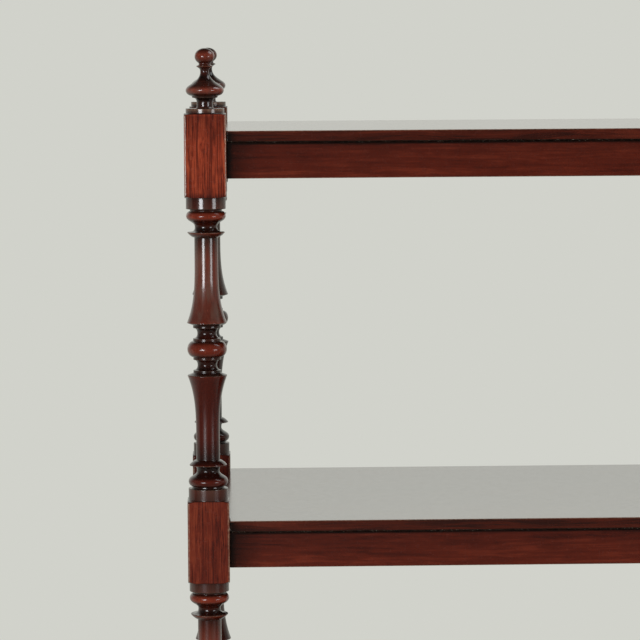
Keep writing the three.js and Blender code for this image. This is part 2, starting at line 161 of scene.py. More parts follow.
class EtagereFinial(bpy.types.PropertyGroup):
    neck_radius: length("Neck radius", 0.0087, "Radius of the neck on the post")
    neck_length: length("Neck length", 0.0066, "Length of the neck on the post")
    flare_radius: length("Flare radius", 0.0123, "Radius at the top of the neck's flare")
    flare_length: length("Flare length", 0.0047, "Length of the neck's flare")
    fillet_radius: length("Fillet radius", 0.0135, "Radius of the fillet under the belly")
    fillet_length: length("Fillet length", 0.0021, "Length of the fillet under the belly")
    belly_radius: length("Belly radius", 0.0205, "Widest radius")
    belly_length: length("Belly length", 0.0062, "Length from the fillet to the widest place")
    ogee_length: length("Ogee length", 0.0197, "Length of the reversed curve above")
    ogee_radius: length("Ogee radius", 0.0047, "Radius of the thin neck")
    ring_length: length("Ring length", 0.009, "Length of the thin neck's ring")
    ring_radius: length("Ring radius", 0.0088, "Radius of the thin neck's ring")
    ball_radius: length("Ball radius", 0.0106, "Radius of the ball")
    ball_height: length("Ball height", 0.0178, "Height of the ball")


class EtagereShelving(bpy.types.PropertyGroup):
    arris: length("Arris", 0.0009, "How far the edges of boards and rails are eased")
    cup: length("Cup", 0.0012, "How far the middle of an old board has sunk")
    notch_gap: length("Notch gap", 0.0006, "Gap between a board's notch and a block")
    block_size: length("Glue block size", 0.016, "Leg of a glue block's triangle")
    block_length: length("Glue block length", 0.07, "Length of a glue block")


class EtagereCastor(bpy.types.PropertyGroup):
    wheel_radius: length("Wheel radius", 0.016, "Radius of the wheel")
    wheel_width: length("Wheel width", 0.012, "Width of the wheel")
    hub_radius: length("Hub radius", 0.0054, "Radius of the wheel's hub")
    axle_radius: length("Axle radius", 0.002, "Radius of the axle")
    rivet_radius: length("Rivet radius", 0.0036, "Radius of the axle's riveted ends")
    cheek: length("Cheek", 0.0026, "Thickness of the horn's cheeks")
    trail: length("Trail", 0.014, "From the swivel pin back to the axle")
    plate_radius: length("Plate radius", 0.012, "Radius of the horn's plate")
    plate_thickness: length("Plate thickness", 0.003, "Thickness of the horn's plate")
    plate_top: length("Plate top", 0.039, "Height of the horn's plate above the floor")
    pin_radius: length("Pin radius", 0.003, "Radius of the swivel pin")
    cup_wall: length("Cup wall", 0.002, "Thickness of the cup's wall and floor")
    screw_height: length("Screw height", 0.0557, "Height of the cup's screw above the floor")


class EtagereFinish(bpy.types.PropertyGroup):
    post_light: tint("Posts, light", (0.50, 0.092, 0.032), "Light streaks of the posts")
    post_mid: tint("Posts, middle", (0.32, 0.040, 0.0135), "Middle tone of the posts")
    post_dark: tint("Posts, dark", (0.12, 0.013, 0.0045), "Dark streaks of the posts")
    rail_light: tint("Rails, light", (0.155, 0.019, 0.0068), "Light streaks of the rails")
    rail_mid: tint("Rails, middle", (0.100, 0.0098, 0.0030), "Middle tone of the rails")
    rail_dark: tint("Rails, dark", (0.056, 0.0050, 0.0016), "Dark streaks of the rails")
    board_light: tint("Boards, light", (0.110, 0.0145, 0.0055), "Light streaks of the boards")
    board_mid: tint("Boards, middle", (0.064, 0.0072, 0.0024), "Middle tone of the boards")
    board_dark: tint("Boards, dark", (0.028, 0.0036, 0.0016), "Dark streaks of the boards")
    # Wax in the grooves, and the near-black that painted shade darkens to.
    wax: tint("Wax", (0.0045, 0.0022, 0.0015), "Old wax and dirt in the grooves")
    bare: tint("Bare wood", (0.34, 0.20, 0.13), "Wood where the polish is rubbed off")
    dust: tint("Dust", (0.42, 0.37, 0.31), "Dust and filler caught in the joints")
    # Painted reflection: the grey veil of the pale room on the collars and shafts.
    haze: tint("Haze", (0.135, 0.110, 0.088), "Polish that has gone cloudy")
    brass: tint("Brass", (0.52, 0.36, 0.13), "Handled brass")
    tarnish: tint("Tarnish", (0.10, 0.065, 0.03), "Brass where it isn't handled")
    iron: tint("Iron", (0.16, 0.15, 0.14), "Axles")
    pine: tint("Pine", (0.42, 0.25, 0.12), "Glue blocks")
    wall: tint("Wall", (0.638, 0.645, 0.597), "Floor and background")
    polish: share("Polish", 0.9, "How much polish lies on the wood")


class EtagereStudio(bpy.types.PropertyGroup):
    place: FloatVectorProperty(
        name="Camera place",
        description="Where the camera stands",
        default=(-0.47387, -3.63464, 1.16707),
        size=3,
        subtype="TRANSLATION",
        unit="LENGTH",
    )
    yaw: FloatProperty(
        name="Yaw", description="Turn to the right", default=0.024664, subtype="ANGLE"
    )
    pitch: FloatProperty(
        name="Pitch", description="Tilt down", default=0.086114, subtype="ANGLE"
    )
    roll: FloatProperty(
        name="Roll", description="Roll about the line of sight", default=-0.0062705, subtype="ANGLE"
    )
    lens: FloatProperty(
        name="Lens", description="Focal length in millimetres", default=180.0, min=10.0
    )
    left_power: FloatProperty(
        name="Left lamp", description="Power of the left lamp", default=172.0, min=0.0, unit="POWER"
    )
    right_power: FloatProperty(
        name="Right lamp", description="Power of the right lamp", default=64.0, min=0.0, unit="POWER"
    )
    high_power: FloatProperty(
        name="High lamp", description="Power of the high lamp", default=26.0, min=0.0, unit="POWER"
    )
    ambient: FloatProperty(
        name="Ambient", description="Level of the room's own light", default=1.2, min=0.0
    )


PROPERTY_GROUPS = {
    "etagere_turning": EtagereTurning,
    "etagere_finial": EtagereFinial,
    "etagere_shelving": EtagereShelving,
    "etagere_castor": EtagereCastor,
    "etagere_finish": EtagereFinish,
    "etagere_studio": EtagereStudio,
}


# Node trees


class Wires:
    """Adds nodes to a tree and joins them, from left to right."""

    def __init__(self, tree):
        self.tree = tree
        self.column = 0

    def feed(self, socket, value):
        if isinstance(value, bpy.types.NodeSocket):
            self.tree.links.new(value, socket)
        else:
            socket.default_value = value

    def node(self, kind, inputs=None, **settings):
        made = self.tree.nodes.new(kind)
        made.location = (self.column * 180, 0)
        self.column += 1
        for key, value in settings.items():
            setattr(made, key, value)
        for key, value in (inputs or {}).items():
            self.feed(made.inputs[key], value)
        return made

    def math(self, operation, *values, clamp=False):
        inputs = dict(enumerate(values))
        return self.node("ShaderNodeMath", inputs, operation=operation, use_clamp=clamp).outputs[0]

    def plus(self, first, second, clamp=False):
        return self.math("ADD", first, second, clamp=clamp)

    def minus(self, first, second, clamp=False):
        return self.math("SUBTRACT", first, second, clamp=clamp)

    def times(self, first, second):
        return self.math("MULTIPLY", first, second)

    def over(self, first, second):
        return self.math("DIVIDE", first, second)

    def vector(self, operation, *values):
        inputs = dict(enumerate(values))
        return self.node("ShaderNodeVectorMath", inputs, operation=operation).outputs[0]

    def triple(self, x, y, z):
        return self.node("ShaderNodeCombineXYZ", {0: x, 1: y, 2: z}).outputs[0]

    def blend(self, share_of_second, first, second, mode="MIX"):
        made = self.node(
            "ShaderNodeMix",
            {0: share_of_second, 6: first, 7: second},
            data_type="RGBA",
            blend_type=mode,
            clamp_factor=True,
        )
        return made.outputs[2]

    def ranged(self, value, low, high, to_low=0.0, to_high=1.0):
        made = self.node(
            "ShaderNodeMapRange",
            {"Value": value, "From Min": low, "From Max": high, "To Min": to_low, "To Max": to_high},
            interpolation_type="SMOOTHSTEP",
        )
        return made.outputs["Result"]

    def noise(self, vector, scale, detail=2.0, roughness=0.5, distortion=0.0):
        return self.node(
            "ShaderNodeTexNoise",
            {
                "Vector": vector,
                "Scale": scale,
                "Detail": detail,
                "Roughness": roughness,
                "Distortion": distortion,
            },
        )


def new_tree(name, kind, inputs, outputs):
    """An empty node group with its sockets: each is name: (kind of socket, default)."""
    tree = bpy.data.node_groups.new(name, kind)
    for direction, sockets in (("INPUT", inputs), ("OUTPUT", outputs)):
        for socket_name, (socket_kind, default) in sockets.items():
            socket = tree.interface.new_socket(
                name=socket_name, in_out=direction, socket_type="NodeSocket" + socket_kind
            )
            if default is not None:
                socket.default_value = default
    wires = Wires(tree)
    entry = wires.node("NodeGroupInput")
    leave = wires.node("NodeGroupOutput")
    return tree, wires, entry.outputs, leave.inputs


def turning_tree():
    """A turning: the host's line of (radius, 0, height) points, swept round +Z. Where the line
    runs outside the square stock that it was turned from, the stock's own faces are left."""
    name = "Turning from square stock"
    if name in bpy.data.node_groups:
        return bpy.data.node_groups[name]
    tree, wires, entry, leave = new_tree(
        name,
        "GeometryNodeTree",
        {
            "Geometry": ("Geometry", None),
            "Columns": ("Int", 96),
            "Stock Width": ("Float", 0.045),
            "Arris": ("Float", 0.0005),
            "Crowding": ("Float", 0.8),
            "Sharp Angle": ("Float", 0.7),
            "Location": ("Vector", None),
            "Rotation": ("Rotation", None),
            "Material": ("Material", None),
        },
        {"Geometry": ("Geometry", None)},
    )
    host = entry["Geometry"]
    size = wires.node("GeometryNodeAttributeDomainSize", {0: host}, component="MESH")
    rows = size.outputs["Point Count"]
    across = wires.plus(entry["Columns"], 1.0)
    grid = wires.node("GeometryNodeMeshGrid", {"Vertices X": rows, "Vertices Y": across})
    index = wires.node("GeometryNodeInputIndex").outputs[0]
    row = wires.math("FLOOR", wires.over(wires.plus(index, 0.5), across))
    column = wires.minus(index, wires.times(row, across))

    def along_host(field, kind):
        return wires.node(
            "GeometryNodeSampleIndex",
            {"Geometry": host, "Value": field, "Index": row},
            data_type=kind,
            domain="POINT",
        ).outputs[0]

    place = along_host(wires.node("GeometryNodeInputPosition").outputs[0], "FLOAT_VECTOR")
    point = wires.node("ShaderNodeSeparateXYZ", {0: place}).outputs
    radius, height = point[0], point[2]

    # The columns crowd towards the stock's four corners.
    quarters = wires.over(wires.times(column, 4.0), entry["Columns"])
    part = wires.math("FRACT", quarters)
    sway = wires.math("SINE", wires.times(part, math.tau))
    pull = wires.over(wires.times(sway, entry["Crowding"]), math.tau)
    turn = wires.times(wires.minus(quarters, pull), -math.pi / 2)
    turn = wires.minus(turn, math.pi / 4)
    cosine = wires.math("COSINE", turn)
    sine = wires.math("SINE", turn)

    half = wires.over(entry["Stock Width"], 2.0)
    reach = wires.math("MAXIMUM", wires.math("ABSOLUTE", cosine), wires.math("ABSOLUTE", sine))
    face = wires.over(half, reach)
    corner = wires.minus(wires.times(half, math.sqrt(2)), entry["Arris"])
    stock = wires.math("MINIMUM", face, corner)
    kept = wires.math("MINIMUM", radius, stock)
    spot = wires.triple(
        wires.times(kept, cosine), wires.times(kept, sine), height
    )
    worn_from = wires.times(corner, WORN_FROM)
    arris = wires.ranged(kept, worn_from, corner)

    shape = wires.node("GeometryNodeSetPosition", {"Geometry": grid.outputs[0], "Position": spot})
    shape = shape.outputs[0]
    turned = wires.math("LESS_THAN", radius, stock)
    marks = {"turned": turned}
    for label in LINE_MARKS:
        field = wires.node("GeometryNodeInputNamedAttribute", {"Name": label}, data_type="FLOAT")
        marks[label] = along_host(field.outputs[0], "FLOAT")
    marks["arris"] = wires.math("MAXIMUM", arris, wires.times(marks["arris"], turned))
    for label, value in marks.items():
        stored = wires.node(
            "GeometryNodeStoreNamedAttribute",
            {"Geometry": shape, "Name": label, "Value": value},
            data_type="FLOAT",
            domain="POINT",
        )
        shape = stored.outputs[0]
    shape = wires.node(
        "GeometryNodeMergeByDistance", {"Geometry": shape, "Distance": WELD}
    ).outputs[0]
    shape = wires.node("GeometryNodeSetShadeSmooth", {0: shape}, domain="FACE").outputs[0]
    bend = wires.node("GeometryNodeInputMeshEdgeAngle").outputs["Unsigned Angle"]
    crisp = wires.node(
        "FunctionNodeCompare", {0: bend, 1: entry["Sharp Angle"]}, operation="GREATER_THAN"
    ).outputs[0]
    shape = wires.node(
        "GeometryNodeSetShadeSmooth", {0: shape, 1: crisp, 2: False}, domain="EDGE"
    ).outputs[0]
    shape = wires.node(
        "GeometryNodeTransform",
        {"Geometry": shape, "Translation": entry["Location"], "Rotation": entry["Rotation"]},
    ).outputs[0]
    shape = wires.node("GeometryNodeRealizeInstances", {0: shape}).outputs[0]
    shape = wires.node("GeometryNodeSetMaterial", {0: shape, "Material": entry["Material"]})
    wires.feed(leave["Geometry"], shape.outputs[0])
    return tree


def glue_block_tree():
    """A three-cornered block on each of the host's points, which mark the middle of the edge in
    the angle between rail and board. The host's turn says which way each block faces."""
    name = "Glue blocks"
    if name in bpy.data.node_groups:
        return bpy.data.node_groups[name]
    tree, wires, entry, leave = new_tree(
        name,
        "GeometryNodeTree",
        {
            "Geometry": ("Geometry", None),
            "Size": ("Float", 0.016),
            "Length": ("Float", 0.07),
            "Material": ("Material", None),
        },
        {"Geometry": ("Geometry", None)},
    )
    size = entry["Size"]
    across = wires.times(size, -0.5)
    cube = wires.node("GeometryNodeMeshCube", {"Size": wires.triple(entry["Length"], size, size)})
    place = wires.node("GeometryNodeInputPosition").outputs[0]
    spot = wires.node("ShaderNodeSeparateXYZ", {0: place}).outputs
    inside = wires.math("LESS_THAN", spot[1], 0.0)
    below = wires.math("LESS_THAN", spot[2], 0.0)
    closing = wires.times(wires.times(inside, below), size)
    shift = wires.triple(0.0, wires.plus(across, closing), across)
    block = wires.node("GeometryNodeSetPosition", {"Geometry": cube.outputs[0], "Offset": shift})
    block = wires.node(
        "GeometryNodeMergeByDistance", {"Geometry": block.outputs[0], "Distance": 1e-5}
    ).outputs[0]
    turn = wires.node("GeometryNodeInputNamedAttribute", {"Name": "turn"}, data_type="FLOAT")
    rotation = wires.triple(0.0, 0.0, turn.outputs[0])
    blocks = wires.node(
        "GeometryNodeInstanceOnPoints",
        {"Points": entry["Geometry"], "Instance": block, "Rotation": rotation},
    ).outputs[0]
    blocks = wires.node("GeometryNodeRealizeInstances", {0: blocks}).outputs[0]
    blocks = wires.node("GeometryNodeSetMaterial", {0: blocks, "Material": entry["Material"]})
    wires.feed(leave["Geometry"], blocks.outputs[0])
    return tree


def run_tree(name, host_mesh, tree, values):
    """The tree's result on the host mesh, as a plain mesh object."""
    host = bpy.data.objects.new(name + "_host", host_mesh)
    bpy.context.scene.collection.objects.link(host)
    modifier = host.modifiers.new("Form", "NODES")
    modifier.node_group = tree
    for item in tree.interface.items_tree:
        if item.item_type == "SOCKET" and item.in_out == "INPUT" and item.name in values:
            modifier[item.identifier] = values[item.name]
    graph = bpy.context.evaluated_depsgraph_get()
    mesh = bpy.data.meshes.new_from_object(
        host.evaluated_get(graph), preserve_all_data_layers=True, depsgraph=graph
    )
    bpy.data.objects.remove(host)
    bpy.data.meshes.remove(host_mesh)
    if not mesh.polygons:
        raise RuntimeError(f"{name}: the node tree made no faces")
    mesh.name = name
    mesh.materials.clear()
    mesh.materials.append(values["Material"])
    mesh.polygons.foreach_set("material_index", [0] * len(mesh.polygons))
    piece = bpy.data.objects.new(name, mesh)
    bpy.context.scene.collection.objects.link(piece)
    return piece


# Outlines of turnings


def steps(count):
    return [step / count for step in range(count + 1)]


def bezier(first, second, third, fourth, count):
    corners = [Vector(point) for point in (first, second, third, fourth)]
    points = []
    for t in steps(count):
        weights = ((1 - t) ** 3, 3 * t * (1 - t) ** 2, 3 * t * t * (1 - t), t**3)
        points.append(tuple(sum((w * c for w, c in zip(weights, corners)), Vector((0, 0)))))
    return points


def swell(start, run, edge, full, count, span=(0.0, 1.0)):
    """Part of a half ellipse that runs from the edge radius out (or in) to the full radius."""
    points = []
    for t in steps(count):
        turn = math.pi * (span[0] + (span[1] - span[0]) * t)
        points.append((edge + (full - edge) * math.sin(turn), start + run * (1 - math.cos(turn)) / 2))
    return points


def eased(points, ease):
    """The outline with each crisp corner eased, and a point on both sides to keep its flats."""
    crisp = math.radians(32)
    most = 0.3  # share of the way to the next point that an easing may take
    guard = 1.8  # easings from the corner to the point that keeps its flat
    result = [points[0]]
    for before, here, after in zip(points, points[1:], points[2:]):
        back = Vector(before) - Vector(here)
        ahead = Vector(after) - Vector(here)
        if min(back.length, ahead.length) < 1e-7:
            continue
        if math.pi - back.angle(ahead) < crisp:
            result.append(here)
            continue
        corner = Vector(here)
        back = back.normalized() * min(ease, back.length * most)
        ahead = ahead.normalized() * min(ease, ahead.length * most)
        start, end = corner + back, corner + ahead
        result.append(tuple(corner + back * guard))
        result.extend(bezier(start, start.lerp(corner, 0.6), end.lerp(corner, 0.6), end, 3))
        result.append(tuple(corner + ahead * guard))
    result.append(points[-1])
    return result


def radius_at(points, height):
    for (r0, z0), (r1, z1) in zip(points, points[1:]):
        if min(z0, z1) <= height <= max(z0, z1):
            return r0 if z0 == z1 else r0 + (r1 - r0) * (height - z0) / (z1 - z0)
    return points[0][0] if height < points[0][1] else points[-1][0]


def radius_beside(points, height, reach):
    """The mean radius a reach below and above the height."""
    return (radius_at(points, height - reach) + radius_at(points, height + reach)) / 2


def clamped(value):
    return min(max(value, 0.0), 1.0)


def falling(distance, start, end):
    """1 up to the start distance, falling to 0 at the end distance."""
    return clamped((end - distance) / (end - start))


def groove_marks(points, cap):
    """For each point how much wax and painted shade it gets in a groove, and painted shade under a
    proud neighbour and on a steep flank, how far it stands out as a crest, and how sharp an edge it is."""
    deep, tight = 0.0045, 0.0035  # depths at which a wide and a narrow groove count in full
    slope_reach, crest_reach, edge_reach = 0.0006, 0.008, 0.0008
    crest_height, edge_height = 0.005, 0.0012
    capped = [(min(r, cap), z) for r, z in points]
    recess, crest, arris = [], [], []
    for r, z in capped:
        groove = max(other - r - abs(height - z) * 0.75 for other, height in capped)
        hollow = max(other - r - abs(height - z) * 0.5 for other, height in capped)
        closed = 1.0 - clamped(hollow / tight)
        climb = abs(radius_at(capped, z + slope_reach) - radius_at(capped, z - slope_reach))
        flank = clamped((math.atan(climb / (2 * slope_reach)) - 0.35) / 0.6)
        # Painted shade: grooves, places under a proud neighbour and steep flanks are marked to be
        # painted dark.
        recess.append(max(min(groove / deep, 1.0), 0.82 * (1.0 - closed**2), 0.85 * flank))
        around = [other for other, height in capped if abs(height - z) < crest_reach]
        rank = (r - min(around)) / (max(around) - min(around) + 0.0001)
        proud = r - radius_beside(capped, z, crest_reach)
        crest.append(clamped(proud / crest_height) * rank**8)
        proud = r - radius_beside(capped, z, edge_reach)
        arris.append(clamped(proud / edge_height - 0.25))
    return recess, crest, arris


def line_mesh(name, points, cap, faded, cloudy):
    mesh = bpy.data.meshes.new(name)
    places = [(r, 0.0, z) for r, z in points]
    mesh.from_pydata(places, [(i, i + 1) for i in range(len(places) - 1)], [])
    painted_looks = [[painted_look(z) for _, z in points] for painted_look in (faded, cloudy)]
    for label, values in zip(LINE_MARKS, (*groove_marks(points, cap), *painted_looks)):
        attribute = mesh.attributes.new(label, "FLOAT", "POINT")
        attribute.data.foreach_set("value", values)
    return mesh


def turn_piece(
    name, points, material, faded=lambda height: 1.0, cloudy=lambda height: 0.0, **values
):
    """A piece turned from an outline of (radius, height) points, in one plain mesh. How much painted
    light and shade, and how much painted sheen it gets, are given by the height."""
    settings = {
        "Columns": 48,
        "Stock Width": 1.0,
        "Arris": 0.0,
        "Crowding": 0.0,
        "Sharp Angle": math.radians(38),
        "Location": (0.0, 0.0, 0.0),
        "Rotation": (0.0, 0.0, 0.0),
        "Material": material,
    }
    settings.update(values)
    cap = settings["Stock Width"] / 2
    return run_tree(name, line_mesh(name, points, cap, faded, cloudy), turning_tree(), settings)


def head_outline(sizes, collar):
    """Collar, quirk, bead, cove and ring, as (radius, distance from the block)."""
    bead_start = collar + sizes.quirk_length
    bead_middle = bead_start + sizes.bead_length / 2
    cove_start = bead_start + sizes.bead_length
    ring_start = cove_start + sizes.cove_length
    waist = cove_start + sizes.cove_length * 0.56
    lip = ring_start + sizes.ring_length * 0.16
    crest = (sizes.crest_radius, bead_middle)
    hollow = (sizes.cove_radius, waist)
    sweep = waist - bead_middle
    points = [
        (sizes.collar_radius, 0.0),
        (sizes.collar_radius, collar),
        (sizes.quirk_radius, collar + sizes.quirk_length * 0.2),
        (sizes.quirk_radius * 0.99, bead_start),
    ]
    points += swell(
        bead_start, sizes.bead_length, sizes.quirk_radius, sizes.crest_radius, 10, (0.04, 0.5)
    )
    points += bezier(
        crest,
        (sizes.crest_radius, bead_middle + sweep * 0.53),
        (sizes.cove_radius, bead_middle + sweep * 0.52),
        hollow,
        16,
    )[1:]
    points += bezier(
        hollow,
        (sizes.cove_radius, waist + (lip - waist) * 0.78),
        (sizes.cove_radius * 1.12, lip - (lip - waist) * 0.06),
        (sizes.ring_radius, lip),
        12,
    )[1:]
    tip = lip + sizes.ring_length * 0.1
    points.append((sizes.ring_radius, tip))
    run = ring_start + sizes.ring_length - tip
    for t in steps(8)[1:]:
        fall = 0.55 * (1 - t) + 0.45 * math.sqrt(1 - t * t)
        reach = (sizes.ring_radius - sizes.shaft_radius) * fall
        points.append((sizes.shaft_radius + reach, tip + run * t))
    return points


def half_spindle(sizes, run, collar):
    """Half a spindle, from a block to the middle of its bulb."""
    bulb_start = run - sizes.bulb_length / 2
    bulb_fillet = bulb_start - sizes.bulb_fillet
    throat = bulb_fillet - sizes.throat_length
    rim_fillet = throat - sizes.rim_fillet
    rim = rim_fillet - sizes.undercut
    points = head_outline(sizes, collar)
    bell = (rim - points[-1][1]) * sizes.bell_share
    for t in steps(26):
        along = math.sqrt(t)
        flare = (sizes.crest_radius - sizes.shaft_radius) * along**sizes.bell_power
        points.append((sizes.shaft_radius + flare, rim - bell + bell * along))
    points += [
        (sizes.crest_radius, rim + sizes.undercut * 0.25),
        (sizes.fillet_radius * 1.03, rim_fillet),
        (sizes.fillet_radius, rim_fillet + sizes.rim_fillet * 0.15),
        (sizes.fillet_radius, throat),
    ]
    points += swell(throat, sizes.throat_length, sizes.fillet_radius * 0.96, sizes.throat_radius, 18)
    points += [(sizes.fillet_radius, bulb_fillet), (sizes.fillet_radius, bulb_start)]
    points += swell(
        bulb_start, sizes.bulb_length, sizes.fillet_radius, sizes.crest_radius, 12, (0.02, 0.5)
    )
    return points


def spindle(sizes, low, high, collar):
    half = half_spindle(sizes, (high - low) / 2, collar)
    upper = [(r, high - distance) for r, distance in reversed(half)]
    return [(r, low + distance) for r, distance in half] + upper[1:]


def block_outline(sizes, low, high, stock):
    """A block's rows. Inside them the line runs outside the stock, so that its faces stay."""
    outside = stock / math.sqrt(2) + 0.001
    end = stock / math.sqrt(2) - sizes.shoulder_depth
    rise = []
    for t in steps(8):
        climb = sizes.shoulder_length * t * (0.6 + 0.4 * t)
        rise.append((end + (outside - end) * t, low + climb))
    fall = [(r, high - (z - low)) for r, z in reversed(rise)]
    rows = 14
    inside = [(outside, low + (high - low) * row / rows) for row in range(1, rows)]
    return rise + inside + fall


def foot_outline(sizes, bottom, cup_top):
    """A foot, from its spigot in the castor cup up to the lowest block."""
    head = reversed(head_outline(sizes, sizes.lower_collar))
    head = [(r, bottom - distance) for r, distance in head]
    ring_bottom = head[0][1]
    free = ring_bottom - cup_top
    belly = ring_bottom - free * 0.3
    middle = (cup_top + belly) / 2
    spigot, spigot_end, lip = sizes.ankle - 0.001, cup_top - 0.012, cup_top + 0.0003
    points = [(0.0, spigot_end), (spigot, spigot_end), (spigot, lip)]
    points += bezier(
        (sizes.ankle, lip),
        (sizes.ankle, middle),
        (sizes.foot_belly, middle),
        (sizes.foot_belly, belly),
        24,
    )
    points += bezier(
        (sizes.foot_belly, belly),
        (sizes.foot_belly, belly + free * 0.12),
        (sizes.shaft_radius, belly + free * 0.13),
        (sizes.shaft_radius, ring_bottom - free * 0.05),
        16,
    )[1:]
    return points + head


def block_spans(sizes):
    """Where a post's square blocks begin and end, from the bottom one up."""
    spans = []
    for tier in TIERS:
        top = tier == TIERS[-1]
        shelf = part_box(tier + "_shelf_board")[1].z
        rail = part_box(tier + "_front_rail")[0].z
        rise = sizes.top_block_rise if top else sizes.block_rise
        drop = sizes.top_block_drop if top else sizes.block_drop
        spans.append((rail - drop, shelf + rise))
    return spans


def share_of_bay(blocks, height):
    """How far up its bay a height lies: 0 at the block below, 1 at the block above."""
    bay = blocks[1][0] - blocks[0][1]
    return (height - blocks[0][1]) % (bay + blocks[0][1] - blocks[0][0]) / bay


def post_outline(sizes, stock):
    """The outline of a whole post, from its spigot in the castor cup to the disc on its top."""
    blocks = block_spans(sizes)
    cup_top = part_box("front_left_castor_cup")[1].z
    points = foot_outline(sizes, blocks[0][0], cup_top)
    for number, (low, high) in enumerate(blocks):
        points += block_outline(sizes, low, high, stock)
        if number < len(blocks) - 1:
            upper = number == len(blocks) - 2
            collar = sizes.upper_collar if upper else sizes.lower_collar
            points += spindle(sizes, high, blocks[number + 1][0], collar)
    top = blocks[-1][1]
    points += [(sizes.cap_radius, top), (sizes.cap_radius, top + sizes.cap_length)]
    points.append((0.0, top + sizes.cap_length))
    return eased(points, EASE)


def finial_outline(sizes, base):
    """A finial, from the top of its post up to the top of its ball."""
    flare = base + sizes.neck_length
    fillet = flare + sizes.flare_length
    belly = fillet + sizes.fillet_length
    widest = belly + sizes.belly_length
    ring = widest + sizes.ogee_length
    ball = ring + sizes.ring_length
    points = [(0.0, base), (sizes.neck_radius * 1.12, base), (sizes.neck_radius, base + 0.0016)]
    points.append((sizes.neck_radius, flare - 0.0006))
    for t in steps(10):
        turn = t * math.pi / 2
        reach = (sizes.flare_radius - sizes.neck_radius) * (1 - math.cos(turn))
        points.append((sizes.neck_radius + reach, flare + sizes.flare_length * math.sin(turn)))
    points += [(sizes.fillet_radius, fillet), (sizes.fillet_radius, belly)]
    points += swell(
        belly, sizes.belly_length * 2, sizes.fillet_radius, sizes.belly_radius, 12, (0.0, 0.5)
    )
    points += bezier(
        (sizes.belly_radius, widest),
        (sizes.belly_radius, widest + sizes.ogee_length * 0.325),
        (sizes.ogee_radius, widest + sizes.ogee_length * 0.4),
        (sizes.ogee_radius, ring),
        30,
    )[1:]
    for radius, up in (
        (sizes.ogee_radius * 1.02, 0.2),
        (sizes.ogee_radius * 1.2, 0.36),
        (sizes.ring_radius, 0.6),
        (sizes.ring_radius, 0.68),
        (sizes.ring_radius * 0.72, 0.8),
    ):
        points.append((radius, ring + sizes.ring_length * up))
    seat = 0.2  # share of the turn from pole to pole that the neck takes up
    half = sizes.ball_height / 2
    centre = ball + half * math.cos(math.pi * seat)
    for t in steps(24):
        turn = math.pi * (seat + (1 - seat) * t)
        points.append((sizes.ball_radius * math.sin(turn), centre - half * math.cos(turn)))
    points[-1] = (0.0, points[-1][1])
    return eased(points, EASE)


# Finishes


def colour(value, strength=1.0):
    return (*(channel * strength for channel in value), 1.0)


def grain_group():
    """Mahogany with its grain along the vector's Z: streaks, fine lines, pores and mottle."""
    name = "Mahogany grain"
    if name in bpy.data.node_groups:
        return bpy.data.node_groups[name]
    tree, wires, entry, leave = new_tree(
        name,
        "ShaderNodeTree",
        {
            "Vector": ("Vector", None),
            "Across": ("Float", 330.0),
            "Along": ("Float", 9.0),
            "Mottle": ("Float", 0.3),
            "Pores": ("Float", 0.5),
            "Wander": ("Float", 0.003),
            "Contrast": ("Float", 1.0),
            "Light": ("Color", None),
            "Middle": ("Color", None),
            "Dark": ("Color", None),
        },
        {"Color": ("Color", None), "Height": ("Float", None)},
    )
    vector = entry["Vector"]
    slow = wires.vector("MULTIPLY", vector, (38.0, 38.0, 7.0))
    drift = wires.noise(slow, 1.0, 2.0).outputs["Color"]
    drift = wires.vector("SUBTRACT", drift, (0.5, 0.5, 0.5))
    wander = wires.node("ShaderNodeVectorMath", {0: drift, 3: entry["Wander"]}, operation="SCALE")
    grain_at = wires.vector("ADD", vector, wires.vector("MULTIPLY", wander.outputs[0], (4.0, 4.0, 0.0)))
    spread = wires.triple(entry["Across"], entry["Across"], entry["Along"])
    streak_at = wires.vector("MULTIPLY", grain_at, spread)
    streaks = wires.noise(streak_at, 1.0, 4.0, 0.62).outputs[0]
    lines_at = wires.vector("MULTIPLY", streak_at, (3.7, 3.7, 2.1))
    lines = wires.noise(lines_at, 1.0, 2.0, 0.5).outputs[0]
    broad_at = wires.vector("MULTIPLY", grain_at, (55.0, 55.0, 2.5))
    broad = wires.noise(broad_at, 1.0, 1.0).outputs[0]
    mottle_at = wires.vector("MULTIPLY", vector, (95.0, 95.0, 42.0))
    mottle = wires.noise(mottle_at, 1.0, 3.0, 0.6, 0.8).outputs[0]
    pores_at = wires.vector("MULTIPLY", grain_at, (2600.0, 2600.0, 110.0))
    pores = wires.ranged(wires.noise(pores_at, 1.0, 1.0).outputs[0], 0.6, 0.68)

    tone = wires.times(wires.ranged(streaks, 0.36, 0.64), 0.5)
    tone = wires.math("MULTIPLY_ADD", wires.ranged(lines, 0.36, 0.64), 0.22, tone)
    tone = wires.math("MULTIPLY_ADD", wires.ranged(broad, 0.32, 0.68), 0.28, tone)
    swing = wires.times(wires.minus(mottle, 0.5), entry["Mottle"])
    tone = wires.plus(tone, swing)
    tone = wires.math("MULTIPLY_ADD", wires.minus(tone, 0.5), entry["Contrast"], 0.5)
    low = wires.blend(wires.ranged(tone, 0.08, 0.5), entry["Dark"], entry["Middle"])
    both = wires.blend(wires.ranged(tone, 0.5, 0.92), low, entry["Light"])
    dots = wires.times(pores, entry["Pores"])
    both = wires.blend(dots, both, entry["Dark"])
    wires.feed(leave["Color"], both)
    height = wires.minus(wires.times(lines, 0.35), dots)
    wires.feed(leave["Height"], height)
    return tree


